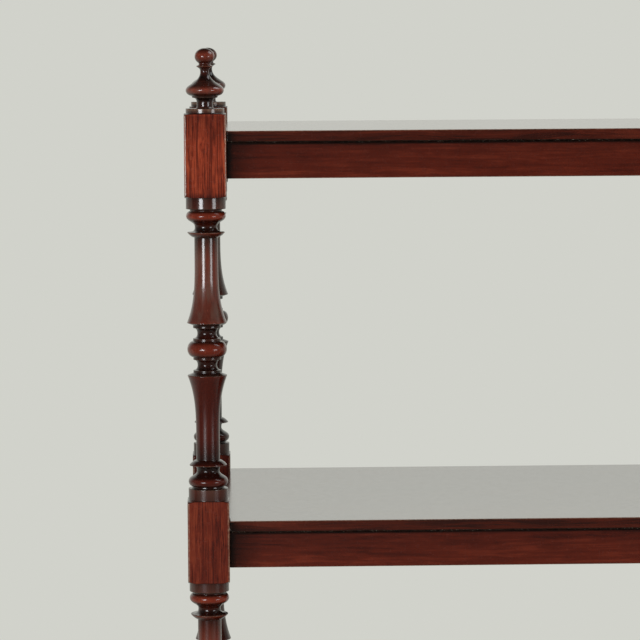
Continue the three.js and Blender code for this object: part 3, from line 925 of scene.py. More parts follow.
def age_group():
    """Stain, painted light and shade, a painted grey sheen, wax and painted shade in the hollows, dust
    in the joints, crests lighter by rubbing and by a painted highlight, and rubbed arrises.
    """
    name = "Wax and wear"
    if name in bpy.data.node_groups:
        return bpy.data.node_groups[name]
    tree, wires, entry, leave = new_tree(
        name,
        "ShaderNodeTree",
        {
            "Vector": ("Vector", None),
            "Color": ("Color", None),
            "Wax": ("Color", None),
            "Bare": ("Color", None),
            "Dust": ("Color", None),
            "Turned": ("Float", 0.0),
            "Faded": ("Float", 1.0),
            "Haze": ("Color", None),
            "Cloudy": ("Float", 0.0),
            "Recess": ("Float", 0.0),
            "Crest": ("Float", 0.0),
            "Arris": ("Float", 0.0),
            "Roughness": ("Float", 0.3),
            "Polish": ("Float", 0.9),
        },
        {"Color": ("Color", None), "Roughness": ("Float", None), "Polish": ("Float", None)},
    )
    vector = entry["Vector"]
    blotch = wires.noise(vector, 160.0, 3.0).outputs[0]
    tide = wires.noise(vector, 14.0, 2.0).outputs[0]
    stained = wires.blend(1.0, entry["Color"], (0.5, 0.46, 0.5, 1.0), "MULTIPLY")
    base = wires.blend(entry["Turned"], entry["Color"], stained)
    # Painted shade: where the painted-light mark is low the colour is darkened towards a shaded tone.
    shaded_tone = wires.blend(1.0, base, (0.38, 0.29, 0.30, 1.0), "MULTIPLY")
    sway = wires.times(wires.minus(tide, 0.5), 0.7)
    base = wires.blend(wires.plus(entry["Faded"], sway, clamp=True), shaded_tone, base)
    # Painted reflection: a grey veil, the pale room seen in the polish, where the painted-sheen mark is
    # set.
    drawn_out = wires.vector("MULTIPLY", vector, (110.0, 110.0, 14.0))
    cloud = wires.ranged(wires.noise(drawn_out, 1.0, 2.0).outputs[0], 0.38, 0.62, 0.25, 1.0)
    base = wires.blend(wires.times(entry["Cloudy"], cloud), base, entry["Haze"])
    # Crests lighter, partly rubbed wear and partly a painted highlight.
    rubbed_and_highlit = wires.times(entry["Crest"], wires.ranged(blotch, 0.2, 0.8, 0.7, 1.0))
    rubbed_and_highlit_tone = wires.blend(1.0, base, (1.45, 1.5, 1.55, 1.0), "MULTIPLY")
    base = wires.blend(rubbed_and_highlit, base, rubbed_and_highlit_tone)
    nicks = wires.noise(vector, 420.0, 2.0).outputs[0]
    worn = wires.times(entry["Arris"], wires.ranged(nicks, 0.38, 0.64, 0.2, 0.7))
    base = wires.blend(worn, base, entry["Bare"])
    # Wax and painted shade: the marked places darken towards the near-black tint.
    depth = wires.times(entry["Recess"], wires.ranged(blotch, 0.2, 0.7, 0.85, 1.0))
    base = wires.blend(wires.times(depth, 0.98), base, entry["Wax"])
    specks = wires.ranged(wires.noise(vector, 1100.0, 1.0).outputs[0], 0.66, 0.72)
    drift = wires.ranged(wires.noise(vector, 22.0, 1.0).outputs[0], 0.38, 0.58)
    dusty = wires.times(wires.times(specks, drift), entry["Recess"])
    eased_flat = wires.minus(entry["Arris"], entry["Turned"], clamp=True)
    dusty = wires.times(dusty, eased_flat)
    base = wires.blend(wires.times(dusty, 0.8), base, entry["Dust"])
    wires.feed(leave["Color"], base)
    rough = wires.math("MULTIPLY_ADD", wires.minus(blotch, 0.5), 0.12, entry["Roughness"])
    wires.feed(leave["Roughness"], wires.math("MULTIPLY_ADD", worn, 0.2, rough))
    loss = wires.math("MULTIPLY_ADD", entry["Turned"], -0.75, 0.95)
    kept = wires.minus(1.0, wires.times(depth, loss))
    wires.feed(leave["Polish"], wires.times(entry["Polish"], kept))
    return tree


def new_material(name):
    material = bpy.data.materials.new(name)
    material.use_nodes = True
    material.node_tree.nodes.clear()
    wires = Wires(material.node_tree)
    shader = wires.node("ShaderNodeBsdfPrincipled")
    out = wires.node("ShaderNodeOutputMaterial", {"Surface": shader.outputs[0]})
    out.is_active_output = True
    return material, wires, shader.inputs


def mark(wires, name):
    return wires.node("ShaderNodeAttribute", attribute_name=name).outputs["Fac"]


GRAIN_TURNS = {"X": (0.0, math.pi / 2, 0.0), "Y": (math.pi / 2, 0.0, 0.0), "Z": (0.0, 0.0, 0.0)}


def mahogany(
    name,
    tones,
    axis,
    across,
    along,
    mottle,
    polish=None,
    shade=1.0,
    gloss=0.2,
    rough=0.26,
    coat=0.14,
    contrast=1.0,
):
    """French-polished mahogany, or the bare wood, with its grain along the named axis."""
    if name in bpy.data.materials:
        return bpy.data.materials[name]
    finish = bpy.context.scene.etagere_finish
    polish = finish.polish if polish is None else polish
    material, wires, shader = new_material(name)
    coords = wires.node("ShaderNodeTexCoord").outputs["Object"]
    mapping = wires.node("ShaderNodeMapping", {"Vector": coords, "Rotation": GRAIN_TURNS[axis]})
    turned = mark(wires, "turned")
    quiet = wires.math("MULTIPLY_ADD", turned, -0.6, 1.0)
    grain = wires.node("ShaderNodeGroup", None, node_tree=grain_group())
    for key, value in {
        "Vector": mapping.outputs[0],
        "Across": across,
        "Along": along,
        "Mottle": wires.times(quiet, mottle),
        "Pores": wires.times(quiet, 0.22),
        "Contrast": wires.times(quiet, contrast),
        # shade below 1 darkens every tone: a painted shade, used for the back posts.
        "Light": colour(getattr(finish, tones + "_light"), shade),
        "Middle": colour(getattr(finish, tones + "_mid"), shade),
        "Dark": colour(getattr(finish, tones + "_dark"), shade),
    }.items():
        wires.feed(grain.inputs[key], value)
    age = wires.node("ShaderNodeGroup", None, node_tree=age_group())
    for key, value in {
        "Vector": coords,
        "Color": grain.outputs["Color"],
        "Wax": colour(finish.wax),
        "Bare": colour(finish.bare),
        "Dust": colour(finish.dust),
        "Turned": turned,
        "Faded": mark(wires, "faded"),
        "Haze": colour(finish.haze),
        "Cloudy": mark(wires, "cloudy"),
        "Recess": mark(wires, "recess"),
        "Crest": mark(wires, "crest"),
        "Arris": mark(wires, "arris"),
        "Roughness": rough if polish else 0.7,
        "Polish": polish,
    }.items():
        wires.feed(age.inputs[key], value)
    bump = wires.node(
        "ShaderNodeBump",
        {
            "Height": wires.times(grain.outputs["Height"], wires.times(quiet, quiet)),
            "Strength": 0.05 if polish else 0.5,
            "Distance": 0.0003,
        },
    )
    wires.feed(shader["Base Color"], age.outputs["Color"])
    wires.feed(shader["Roughness"], age.outputs["Roughness"])
    wires.feed(shader["Normal"], bump.outputs[0])
    shader["IOR"].default_value = 1.5
    shader["Specular IOR Level"].default_value = gloss
    if polish:
        wires.feed(shader["Coat Weight"], age.outputs["Polish"])
        shader["Coat Roughness"].default_value = coat
        shader["Coat IOR"].default_value = 1.5
    return material


def post_wood(corner):
    """The back posts are darker than the front ones, a painted shade, and less polished."""
    grain = ("post", "Z", 800.0, 9.0, 0.7)
    if CORNERS[corner][1] > 0:
        return mahogany("Mahogany, back posts", *grain, polish=0.6, shade=0.45, contrast=1.25)
    return mahogany("Mahogany, front posts", *grain, contrast=1.25)


def metal(name, bright, dull, roughness):
    """Metal with a tarnish that is rubbed off where it is handled."""
    if name in bpy.data.materials:
        return bpy.data.materials[name]
    material, wires, shader = new_material(name)
    coords = wires.node("ShaderNodeTexCoord").outputs["Object"]
    cloud = wires.noise(coords, 130.0, 4.0, 0.6).outputs[0]
    scratch_at = wires.vector("MULTIPLY", coords, (900.0, 900.0, 160.0))
    scratch = wires.noise(scratch_at, 1.0, 2.0).outputs[0]
    rubbed = wires.ranged(cloud, 0.36, 0.62)
    rubbed = wires.minus(rubbed, mark(wires, "recess"), clamp=True)
    rubbed = wires.math("MAXIMUM", rubbed, wires.times(mark(wires, "crest"), 0.9))
    wires.feed(shader["Base Color"], wires.blend(rubbed, colour(dull), colour(bright)))
    rough = wires.ranged(rubbed, 0.0, 1.0, roughness + 0.22, roughness)
    wires.feed(shader["Roughness"], wires.math("MULTIPLY_ADD", scratch, 0.1, rough))
    bump = wires.node("ShaderNodeBump", {"Height": scratch, "Strength": 0.15, "Distance": 0.0002})
    wires.feed(shader["Normal"], bump.outputs[0])
    shader["Metallic"].default_value = 1.0
    return material


def brass():
    finish = bpy.context.scene.etagere_finish
    return metal("Brass", finish.brass, finish.tarnish, 0.26)


def iron():
    finish = bpy.context.scene.etagere_finish
    rust = (0.05, 0.035, 0.025)
    return metal("Iron", finish.iron, rust, 0.38)


def pine():
    name = "Pine"
    if name in bpy.data.materials:
        return bpy.data.materials[name]
    finish = bpy.context.scene.etagere_finish
    material, wires, shader = new_material(name)
    coords = wires.node("ShaderNodeTexCoord").outputs["Object"]
    rings_at = wires.vector("MULTIPLY", coords, (6.0, 420.0, 420.0))
    rings = wires.ranged(wires.noise(rings_at, 1.0, 3.0, 0.5, 0.4).outputs[0], 0.35, 0.65)
    pale = colour(finish.pine, 1.15)
    deep = colour(finish.pine, 0.6)
    dirt_and_painted_shade = wires.ranged(wires.noise(coords, 60.0, 3.0).outputs[0], 0.45, 0.75, 0.0, 0.5)
    wood = wires.blend(rings, pale, deep)
    grime_and_painted_shade = (0.09, 0.055, 0.03, 1.0)
    wires.feed(shader["Base Color"], wires.blend(dirt_and_painted_shade, wood, grime_and_painted_shade))
    wires.feed(shader["Roughness"], wires.ranged(rings, 0.0, 1.0, 0.75, 0.62))
    bump = wires.node("ShaderNodeBump", {"Height": rings, "Strength": 0.3, "Distance": 0.0003})
    wires.feed(shader["Normal"], bump.outputs[0])
    shader["Specular IOR Level"].default_value = 0.3
    return material


# Pieces of mesh code


def mesh_piece(name, bm, *materials):
    """A plain mesh object from the bmesh, whose faces take the materials by their index."""
    bmesh.ops.recalc_face_normals(bm, faces=bm.faces)
    mesh = bpy.data.meshes.new(name)
    bm.to_mesh(mesh)
    bm.free()
    for material in materials:
        mesh.materials.append(material)
    piece = bpy.data.objects.new(name, mesh)
    bpy.context.scene.collection.objects.link(piece)
    return piece


def prism(bm, outline, low, high, place=Matrix.Identity(4)):
    """A prism over a flat outline of (x, y), from low to high along Z, then placed."""
    bottom = [bm.verts.new(place @ Vector((x, y, low))) for x, y in outline]
    top = [bm.verts.new(place @ Vector((x, y, high))) for x, y in outline]
    count = len(outline)
    bm.faces.new(list(reversed(bottom)))
    bm.faces.new(top)
    for i in range(count):
        j = (i + 1) % count
        bm.faces.new([bottom[i], bottom[j], top[j], top[i]])


def ease_edges(bm, width, segments=3):
    """Rounds every edge a little. The flats stay flat, and the roundings are marked as arris."""
    arris = bm.verts.layers.float.new("arris")
    result = bmesh.ops.bevel(
        bm,
        geom=list(bm.edges),
        offset=width,
        segments=segments,
        profile=0.5,
        affect="EDGES",
        clamp_overlap=True,
    )
    rounded = set(result["faces"])
    for face in bm.faces:
        face.smooth = True
    for edge in bm.edges:
        edge.smooth = sum(face in rounded for face in edge.link_faces) != 1
    for vert in bm.verts:
        if all(face in rounded for face in vert.link_faces):
            vert[arris] = 1.0


def slice_across(bm, axis, places):
    """Cuts the mesh across the axis (0, 1 or 2 for X, Y or Z) at each place."""
    for place in places:
        normal = Vector((0.0, 0.0, 0.0))
        normal[axis] = 1.0
        geometry = bm.verts[:] + bm.edges[:] + bm.faces[:]
        bmesh.ops.bisect_plane(bm, geom=geometry, plane_co=normal * place, plane_no=normal, dist=WELD)


def both_ways(reach, gaps):
    """Places that lie each gap short of the reach, on both sides of the middle."""
    return [way * (reach - gap) for gap in gaps for way in (-1, 1)]


def mark_age(bm, grime_and_painted_shade, faded):
    """Stores on every vertex how much painted shade, with dirt at the joints, lies there, and how much
    painted light it gets.
    """
    for name, amount in (("recess", grime_and_painted_shade), ("faded", faded)):
        layer = bm.verts.layers.float.new(name)
        for vert in bm.verts:
            vert[layer] = amount(vert.co)


def settle(piece, body, slot, *nodes):
    """Hands the finished piece to its body, in place of its nodes."""
    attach(piece, body)
    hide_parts(*nodes)


def axis_of(node):
    """The middle of a node's box, and the box's size."""
    low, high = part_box(node)
    return (low + high) / 2, high - low


class ETAGERE_OT_posts(bpy.types.Operator):
    """Turns the four posts from square stock"""

    bl_idname = "etagere.posts"
    bl_label = "Turn Posts"

    def execute(self, context):
        sizes = context.scene.etagere_turning
        for corner in CORNERS:
            middle, span = axis_of(corner + "_post")
            post = turn_piece(
                corner + "_turned_post",
                post_outline(sizes, span.x),
                post_wood(corner),
                self.light_by_height(sizes),
                self.sheen_by_height(sizes),
                **{
                    "Columns": sizes.columns,
                    "Stock Width": span.x,
                    "Arris": sizes.arris,
                    "Crowding": 0.8,
                    "Location": (middle.x, middle.y, 0.0),
                },
            )
            settle(post, STAND, "mahogany_posts", corner + "_post")
        return {"FINISHED"}

    def light_by_height(self, sizes):
        """Painted light by height: the top block's middle and the upper part of each bay are fully lit;
        the lower blocks, the collars, the top block's ends and the lower part of each bay get painted
        shade, the bulb part of it.
        """
        blocks = block_spans(sizes)
        mostly_shaded = 0.05

        def faded(height):
            for low, high in blocks:
                if low <= height <= high and (low, high) != blocks[-1]:
                    return mostly_shaded
                if low <= height <= high:
                    ends = falling(high - height, 0.004, 0.032), falling(height - low, 0.002, 0.007)
                    return 1.0 - 0.9 * max(ends)
                if low - sizes.upper_collar <= height <= high + sizes.upper_collar:
                    return mostly_shaded
            part = share_of_bay(blocks, height)
            if part < 0.43:
                return 0.0
            if abs(part - 0.5) < 0.035:
                return 0.6
            return 1.0 - 0.65 * falling(part, 0.6, 0.72)

        return faded

    def sheen_by_height(self, sizes):
        """Painted sheen, a grey veil for the pale room's reflection, on the collars and on the upper
        shaft of each spindle.
        """
        blocks = block_spans(sizes)

        def cloudy(height):
            gap = min(max(low - height, height - high) for low, high in blocks)
            if gap < sizes.upper_collar:
                return 0.2 if gap > 0.0 else 0.0
            if height < blocks[0][0]:
                return 0.0
            part = share_of_bay(blocks, height)
            return 0.42 * falling(part, 0.86, 0.875) * (1.0 - falling(part, 0.56, 0.62))

        return cloudy


class ETAGERE_OT_finials(bpy.types.Operator):
    """Turns the four finials"""

    bl_idname = "etagere.finials"
    bl_label = "Turn Finials"

    def execute(self, context):
        turning = context.scene.etagere_turning
        sizes = context.scene.etagere_finial
        for corner in CORNERS:
            middle = axis_of(corner + "_finial")[0]
            post_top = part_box(corner + "_post")[1].z
            outline = finial_outline(sizes, post_top)
            ball_from = outline[-1][1] - sizes.ball_height
            finial = turn_piece(
                corner + "_turned_finial",
                outline,
                post_wood(corner),
                # Painted shade: the finial a little darker, its ball more so.
                lambda height: 0.7 if height > ball_from else 0.85,
                # Painted sheen: a light grey veil over the whole finial.
                lambda height: 0.2,
                **{"Columns": turning.columns, "Location": (middle.x, middle.y, 0.0)},
            )
            settle(finial, STAND, "mahogany_posts", corner + "_finial")
        return {"FINISHED"}


class ETAGERE_OT_boards(bpy.types.Operator):
    """Makes the three shelf boards, notched round the blocks"""

    bl_idname = "etagere.boards"
    bl_label = "Make Shelf Boards"

    def execute(self, context):
        sizes = context.scene.etagere_shelving
        stock = axis_of("front_left_post")[1].x
        post_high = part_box("back_right_post")[1]
        grain = ("board", "X", 200.0, 7.0, 0.35)
        shine = {"polish": 1.0, "gloss": 0.5, "rough": 0.2, "coat": 0.17}
        wood = mahogany("Mahogany, board tops", *grain, **shine)
        edge = mahogany("Mahogany, board edges", *grain)
        bare = mahogany("Mahogany, bare", "board", "X", 200.0, 7.0, 0.2, polish=0.0)
        for tier in TIERS:
            node = tier + "_shelf_board"
            low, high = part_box(node)
            notch_x = post_high.x - stock - sizes.notch_gap
            notch_y = post_high.y - stock - sizes.notch_gap
            quarter = [(notch_x, high.y), (notch_x, notch_y), (high.x, notch_y)]
            back = quarter[::-1]
            outline = (
                quarter
                + [(x, -y) for x, y in back]
                + [(-x, -y) for x, y in quarter]
                + [(-x, y) for x, y in back]
            )
            bm = bmesh.new()
            prism(bm, outline[::-1], low.z, high.z)
            ease_edges(bm, sizes.arris)
            slice_across(bm, 2, (low.z + sizes.arris * 1.3, high.z - sizes.arris * 1.3))
            self.cup(bm, high, sizes.cup)
            slice_across(bm, 0, both_ways(notch_x, (0.003, 0.012, 0.03)))
            mark_age(bm, self.grime_and_painted_shade(low, high, notch_x, sizes.arris), lambda place: 1.0)
            bm.normal_update()
            for face in bm.faces:
                if face.normal.z < 0.9:
                    face.material_index = 1 if face.normal.z < -0.9 else 2
            board = mesh_piece(tier + "_polished_board", bm, wood, bare, edge)
            settle(board, STAND, "mahogany_boards", node)
        return {"FINISHED"}

    def cup(self, bm, high, depth):
        """Old boards cup: the middle of the top lies a little lower than its long edges."""
        strips = 22
        slice_across(bm, 1, [high.y * (2 * i / strips - 1) for i in range(1, strips)])
        for vert in bm.verts:
            if vert.co.z > high.z - 0.004:
                vert.co.z -= depth * (1 - (vert.co.y / high.y) ** 2)

    def grime_and_painted_shade(self, low, high, notch, arris):
        """Dark along the joint below, a dark joint with painted shade, and a painted shadow of the
        blocks on the long edges beside them.
        """

        def amount(place):
            if place.z < low.z + arris * 1.1:
                return 1.0
            if place.z > high.z - arris * 1.1 or abs(place.y) < high.y - arris * 1.1:
                return 0.0
            beside = notch - abs(place.x)
            return max(falling(beside, 0.003, 0.012), 0.6 * falling(beside, 0.0, 0.03))

        return amount


class ETAGERE_OT_rails(bpy.types.Operator):
    """Makes the twelve rails under the boards"""

    bl_idname = "etagere.rails"
    bl_label = "Make Rails"

    def execute(self, context):
        sizes = context.scene.etagere_shelving
        middle, span = axis_of("front_left_post")
        inner = Vector((abs(middle.x) - span.x / 2, abs(middle.y) - span.x / 2))
        for tier in TIERS:
            for side in ("front", "back", "left", "right"):
                node = f"{tier}_{side}_rail"
                low, high = (point.copy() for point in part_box(node))
                long = side in ("front", "back")
                axis = "X" if long else "Y"
                along = 0 if long else 1
                low[along], high[along] = -inner[along], inner[along]
                grain = ("rail", axis, 300.0, 12.0, 0.6)
                wood = mahogany(f"Mahogany, rails along {axis}", *grain, contrast=0.75)
                grain = ("rail", axis, 170.0, 14.0, 0.3)
                bare = mahogany(f"Mahogany, bare along {axis}", *grain, polish=0.0)
                outline = [(low.x, low.y), (high.x, low.y), (high.x, high.y), (low.x, high.y)]
                bm = bmesh.new()
                prism(bm, outline, low.z, high.z)
                ease_edges(bm, sizes.arris)
                gaps = (0.004, 0.008, 0.014, 0.022, 0.035)
                slice_across(bm, along, both_ways(inner[along], gaps))
                dirt_and_painted_shade = (0.0016, 0.0034)  # depths below the board between which the painted shadow under the board thins out
                slice_across(bm, 2, [high.z - depth for depth in dirt_and_painted_shade])

                # Painted shadow under the board's overhang, and painted shadow of the blocks near the
                # rail's ends.
                def grime_and_painted_shade(place):
                    under = falling(high.z - place.z, *dirt_and_painted_shade)
                    beside = inner[along] - abs(place[along])
                    corner = max(falling(beside, 0.004, 0.014), 0.75 * falling(beside, 0.006, 0.035))
                    return max(under, corner)

                # Painted shade: the rail is darker towards the board above it.
                def faded(place):
                    return 0.55 + 0.45 * (high.z - place.z) / (high.z - low.z)

                mark_age(bm, grime_and_painted_shade, faded)
                bm.normal_update()
                for face in bm.faces:
                    inwards = face.normal.x * (low.x + high.x) + face.normal.y * (low.y + high.y)
                    if inwards < -0.1 or face.normal.z > 0.9:
                        face.material_index = 1
                rail = mesh_piece(f"{tier}_{side}_polished_rail", bm, wood, bare)
                settle(rail, STAND, "mahogany_rails", node)
        return {"FINISHED"}


class ETAGERE_OT_glue_blocks(bpy.types.Operator):
    """Makes the pine blocks glued between the boards and the long rails"""

    bl_idname = "etagere.glue_blocks"
    bl_label = "Make Glue Blocks"

    def execute(self, context):
        sizes = context.scene.etagere_shelving
        for tier in TIERS:
            nodes = {f"{tier}_{corner}_glue_block": side for corner, (_, side) in CORNERS.items()}
            places, turns = [], []
            for node, side in nodes.items():
                low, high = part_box(node)
                places.append(((low.x + high.x) / 2, high.y if side > 0 else low.y, high.z))
                turns.append(0.0 if side > 0 else math.pi)
            host = bpy.data.meshes.new(tier + "_glue_block_places")
            host.from_pydata(places, [], [])
            host.attributes.new("turn", "FLOAT", "POINT").data.foreach_set("value", turns)
            blocks = run_tree(
                tier + "_glue_blocks",
                host,
                glue_block_tree(),
                {"Size": sizes.block_size, "Length": sizes.block_length, "Material": pine()},
            )
            bm = bmesh.new()
            bm.from_mesh(blocks.data)
            ease_edges(bm, sizes.arris, 2)
            bmesh.ops.recalc_face_normals(bm, faces=bm.faces)
            bm.to_mesh(blocks.data)
            bm.free()
            settle(blocks, STAND, "pine", *nodes)
        return {"FINISHED"}


RUNNING_GAP = 0.0003  # between the parts of a castor that turn in each other
CUP_RADIUS = 0.0167
CUP_FLOOR = 0.003
SCREW_SHANK = 0.0015
SCREW_HEAD = 0.0028
PIN_HEAD = 0.0048
HEAD_EDGE = 0.0003  # straight edge below a domed head
HEAD_RISE = 0.0011  # how far a small head is domed
PIN_RISE = 0.0019  # how far the swivel pin's head is domed
CHEEK_NECK = 0.007  # half the width of a cheek below the plate
CHEEK_BOSS = 0.005  # radius of a cheek round the axle
CHEEK_EASE = 0.0004


def dome(radius, base, rise, count):
    """A domed head, from its edge to its middle."""
    points = []
    for t in steps(count):
        turn = t * math.pi / 2
        points.append((radius * math.cos(turn), base + rise * math.sin(turn)))
    points[-1] = (0.0, points[-1][1])
    return points


def cup_outline(sizes, low, high):
    """The castor cup as a closed ring: a rolled rim, a straight wall and a rounded foot."""
    wall = sizes.cup_wall
    hole = sizes.pin_radius + RUNNING_GAP
    rim = 0.003
    proud = 0.0011
    foot = 0.006
    foot_radius = CUP_RADIUS - 0.0042
    floor = low + wall + 0.001
    points = [(hole, low), (foot_radius, low)]
    points += swell(low, foot * 2, foot_radius, CUP_RADIUS, 8, (0.0, 0.5))
    points.append((CUP_RADIUS, high - rim))
    points += swell(high - rim, rim, CUP_RADIUS + proud * 0.2, CUP_RADIUS + proud, 8)
    points += [(CUP_RADIUS - wall, high), (CUP_RADIUS - wall, floor), (hole, floor), (hole, low)]
    return eased(points, EASE)


def wheel_outline(sizes):
    """A wheel as a closed ring about its axle: hub, dished web and rounded tread."""
    half = sizes.wheel_width / 2
    radius = sizes.wheel_radius
    bore = sizes.axle_radius + RUNNING_GAP
    web, lip, rim = half * 0.62, half * 0.9, half * 0.96
    side = [(bore, half), (sizes.hub_radius, half), (sizes.hub_radius * 1.12, lip)]
    side += [(sizes.hub_radius * 1.25, web), (radius * 0.7, web), (radius * 0.8, lip)]
    side.append((radius * 0.84, rim))
    side += bezier(
        (radius * 0.86, rim), (radius * 0.97, rim), (radius, half * 0.6), (radius, 0.0), 10
    )
    other = [(r, -z) for r, z in side]
    return eased(other + side[::-1][1:] + other[:1], EASE)


class ETAGERE_OT_castors(bpy.types.Operator):
    """Makes the four brass castors with their cups and screws"""

    bl_idname = "etagere.castors"
    bl_label = "Make Castors"

    def execute(self, context):
        sizes = context.scene.etagere_castor
        for corner, (side_x, side_y) in CORNERS.items():
            cup_node = corner + "_castor_cup"
            middle = axis_of(cup_node)[0]
            low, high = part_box(cup_node)
            cup = turn_piece(
                corner + "_brass_cup",
                cup_outline(sizes, low.z, high.z),
                brass(),
                **{"Location": (middle.x, middle.y, 0.0)},
            )
            settle(cup, STAND, "brass", cup_node)
            self.screw(sizes, corner, middle, side_y)

            trail = -side_x * sizes.trail
            wheel = turn_piece(
                corner + "_brass_wheel",
                wheel_outline(sizes),
                brass(),
                **{
                    "Location": (middle.x + trail, middle.y, sizes.wheel_radius),
                    "Rotation": ACROSS,
                    "Columns": 64,
                },
            )
            settle(wheel, corner + "_wheel", "brass", corner + "_castor_wheel")
            self.axle(sizes, corner, middle, trail)
            self.horn(sizes, corner, middle, trail)
        return {"FINISHED"}

    def screw(self, sizes, corner, middle, side_y):
        seat = CUP_RADIUS + 0.0001
        tip = seat - 0.004
        head = [(0.0, tip), (SCREW_SHANK, tip), (SCREW_SHANK, seat), (SCREW_HEAD, seat)]
        head += dome(SCREW_HEAD, seat + HEAD_EDGE, HEAD_RISE, 8)
        screw = turn_piece(
            corner + "_brass_screw",
            eased(head, EASE / 2),
            brass(),
            **{
                "Location": (middle.x, middle.y, sizes.screw_height),
                "Rotation": (side_y * math.pi / 2, 0.0, 0.0),
                "Columns": 24,
            },
        )
        settle(screw, STAND, "brass", corner + "_castor_screw")

    def axle(self, sizes, corner, middle, trail):
        seat = sizes.wheel_width / 2 + sizes.cheek + 2 * RUNNING_GAP
        rivet = [(sizes.axle_radius, seat), (sizes.rivet_radius, seat)]
        rivet += dome(sizes.rivet_radius, seat + HEAD_EDGE, HEAD_RISE, 8)
        outline = [(r, -z) for r, z in reversed(rivet)] + rivet
        axle = turn_piece(
            corner + "_iron_axle",
            eased(outline, EASE / 2),
            iron(),
            **{
                "Location": (middle.x + trail, middle.y, sizes.wheel_radius),
                "Rotation": ACROSS,
                "Columns": 32,
            },
        )
        settle(axle, corner + "_castor", "steel", corner + "_castor_axle")

    def horn(self, sizes, corner, middle, trail):
        """The horn: a round plate with its riveted pin, and two cheeks with rounded bosses."""
        bottom = sizes.plate_top - sizes.plate_thickness
        head = sizes.plate_top + RUNNING_GAP + CUP_FLOOR + RUNNING_GAP
        outline = [(0.0, bottom), (sizes.plate_radius, bottom), (sizes.plate_radius, sizes.plate_top)]
        outline += [(sizes.pin_radius, sizes.plate_top), (sizes.pin_radius, head)]
        outline += dome(PIN_HEAD, head, PIN_RISE, 6)
        stem = turn_piece(
            corner + "_brass_horn",
            eased(outline, EASE),
            brass(),
            **{"Location": (middle.x, middle.y, 0.0)},
        )
        bm = bmesh.new()
        way = 1.0 if trail > 0 else -1.0
        upright = Matrix(((way, 0, 0, middle.x), (0, 0, 1, middle.y), (0, 1, 0, 0), (0, 0, 0, 1)))
        profile = self.cheek_profile(sizes, bottom, abs(trail))
        near = sizes.wheel_width / 2 + RUNNING_GAP
        far = near + sizes.cheek
        for low, high in ((-far, -near), (near, far)):
            prism(bm, profile, low, high, upright)
        ease_edges(bm, CHEEK_EASE, 2)
        bmesh.ops.recalc_face_normals(bm, faces=bm.faces)
        bm.from_mesh(stem.data)
        bm.to_mesh(stem.data)
        bm.free()
        settle(stem, corner + "_castor", "brass", corner + "_castor_horn")

    def cheek_profile(self, sizes, bottom, reach):
        """A cheek from the side: it sweeps from under the plate back to its boss and returns."""
        neck, boss, axle = CHEEK_NECK, CHEEK_BOSS, sizes.wheel_radius
        profile = [(-neck, bottom + 0.001), (-neck, bottom - 0.003)]
        profile += bezier(
            (-neck, bottom - 0.003),
            (-neck + 0.002, bottom - 0.010),
            (reach - boss - 0.004, axle + 0.006),
            (reach - boss, axle),
            10,
        )[1:]
        for t in steps(12)[1:]:
            turn = math.pi + math.pi * t
            profile.append((reach + boss * math.cos(turn), axle + boss * math.sin(turn)))
        profile += bezier(
            (reach + boss, axle),
            (reach + boss, axle + 0.008),
            (neck + 0.002, bottom - 0.008),
            (neck, bottom - 0.002),
            10,
        )[1:]
        profile.append((neck, bottom + 0.001))
        return profile


# Floor, lamps and camera


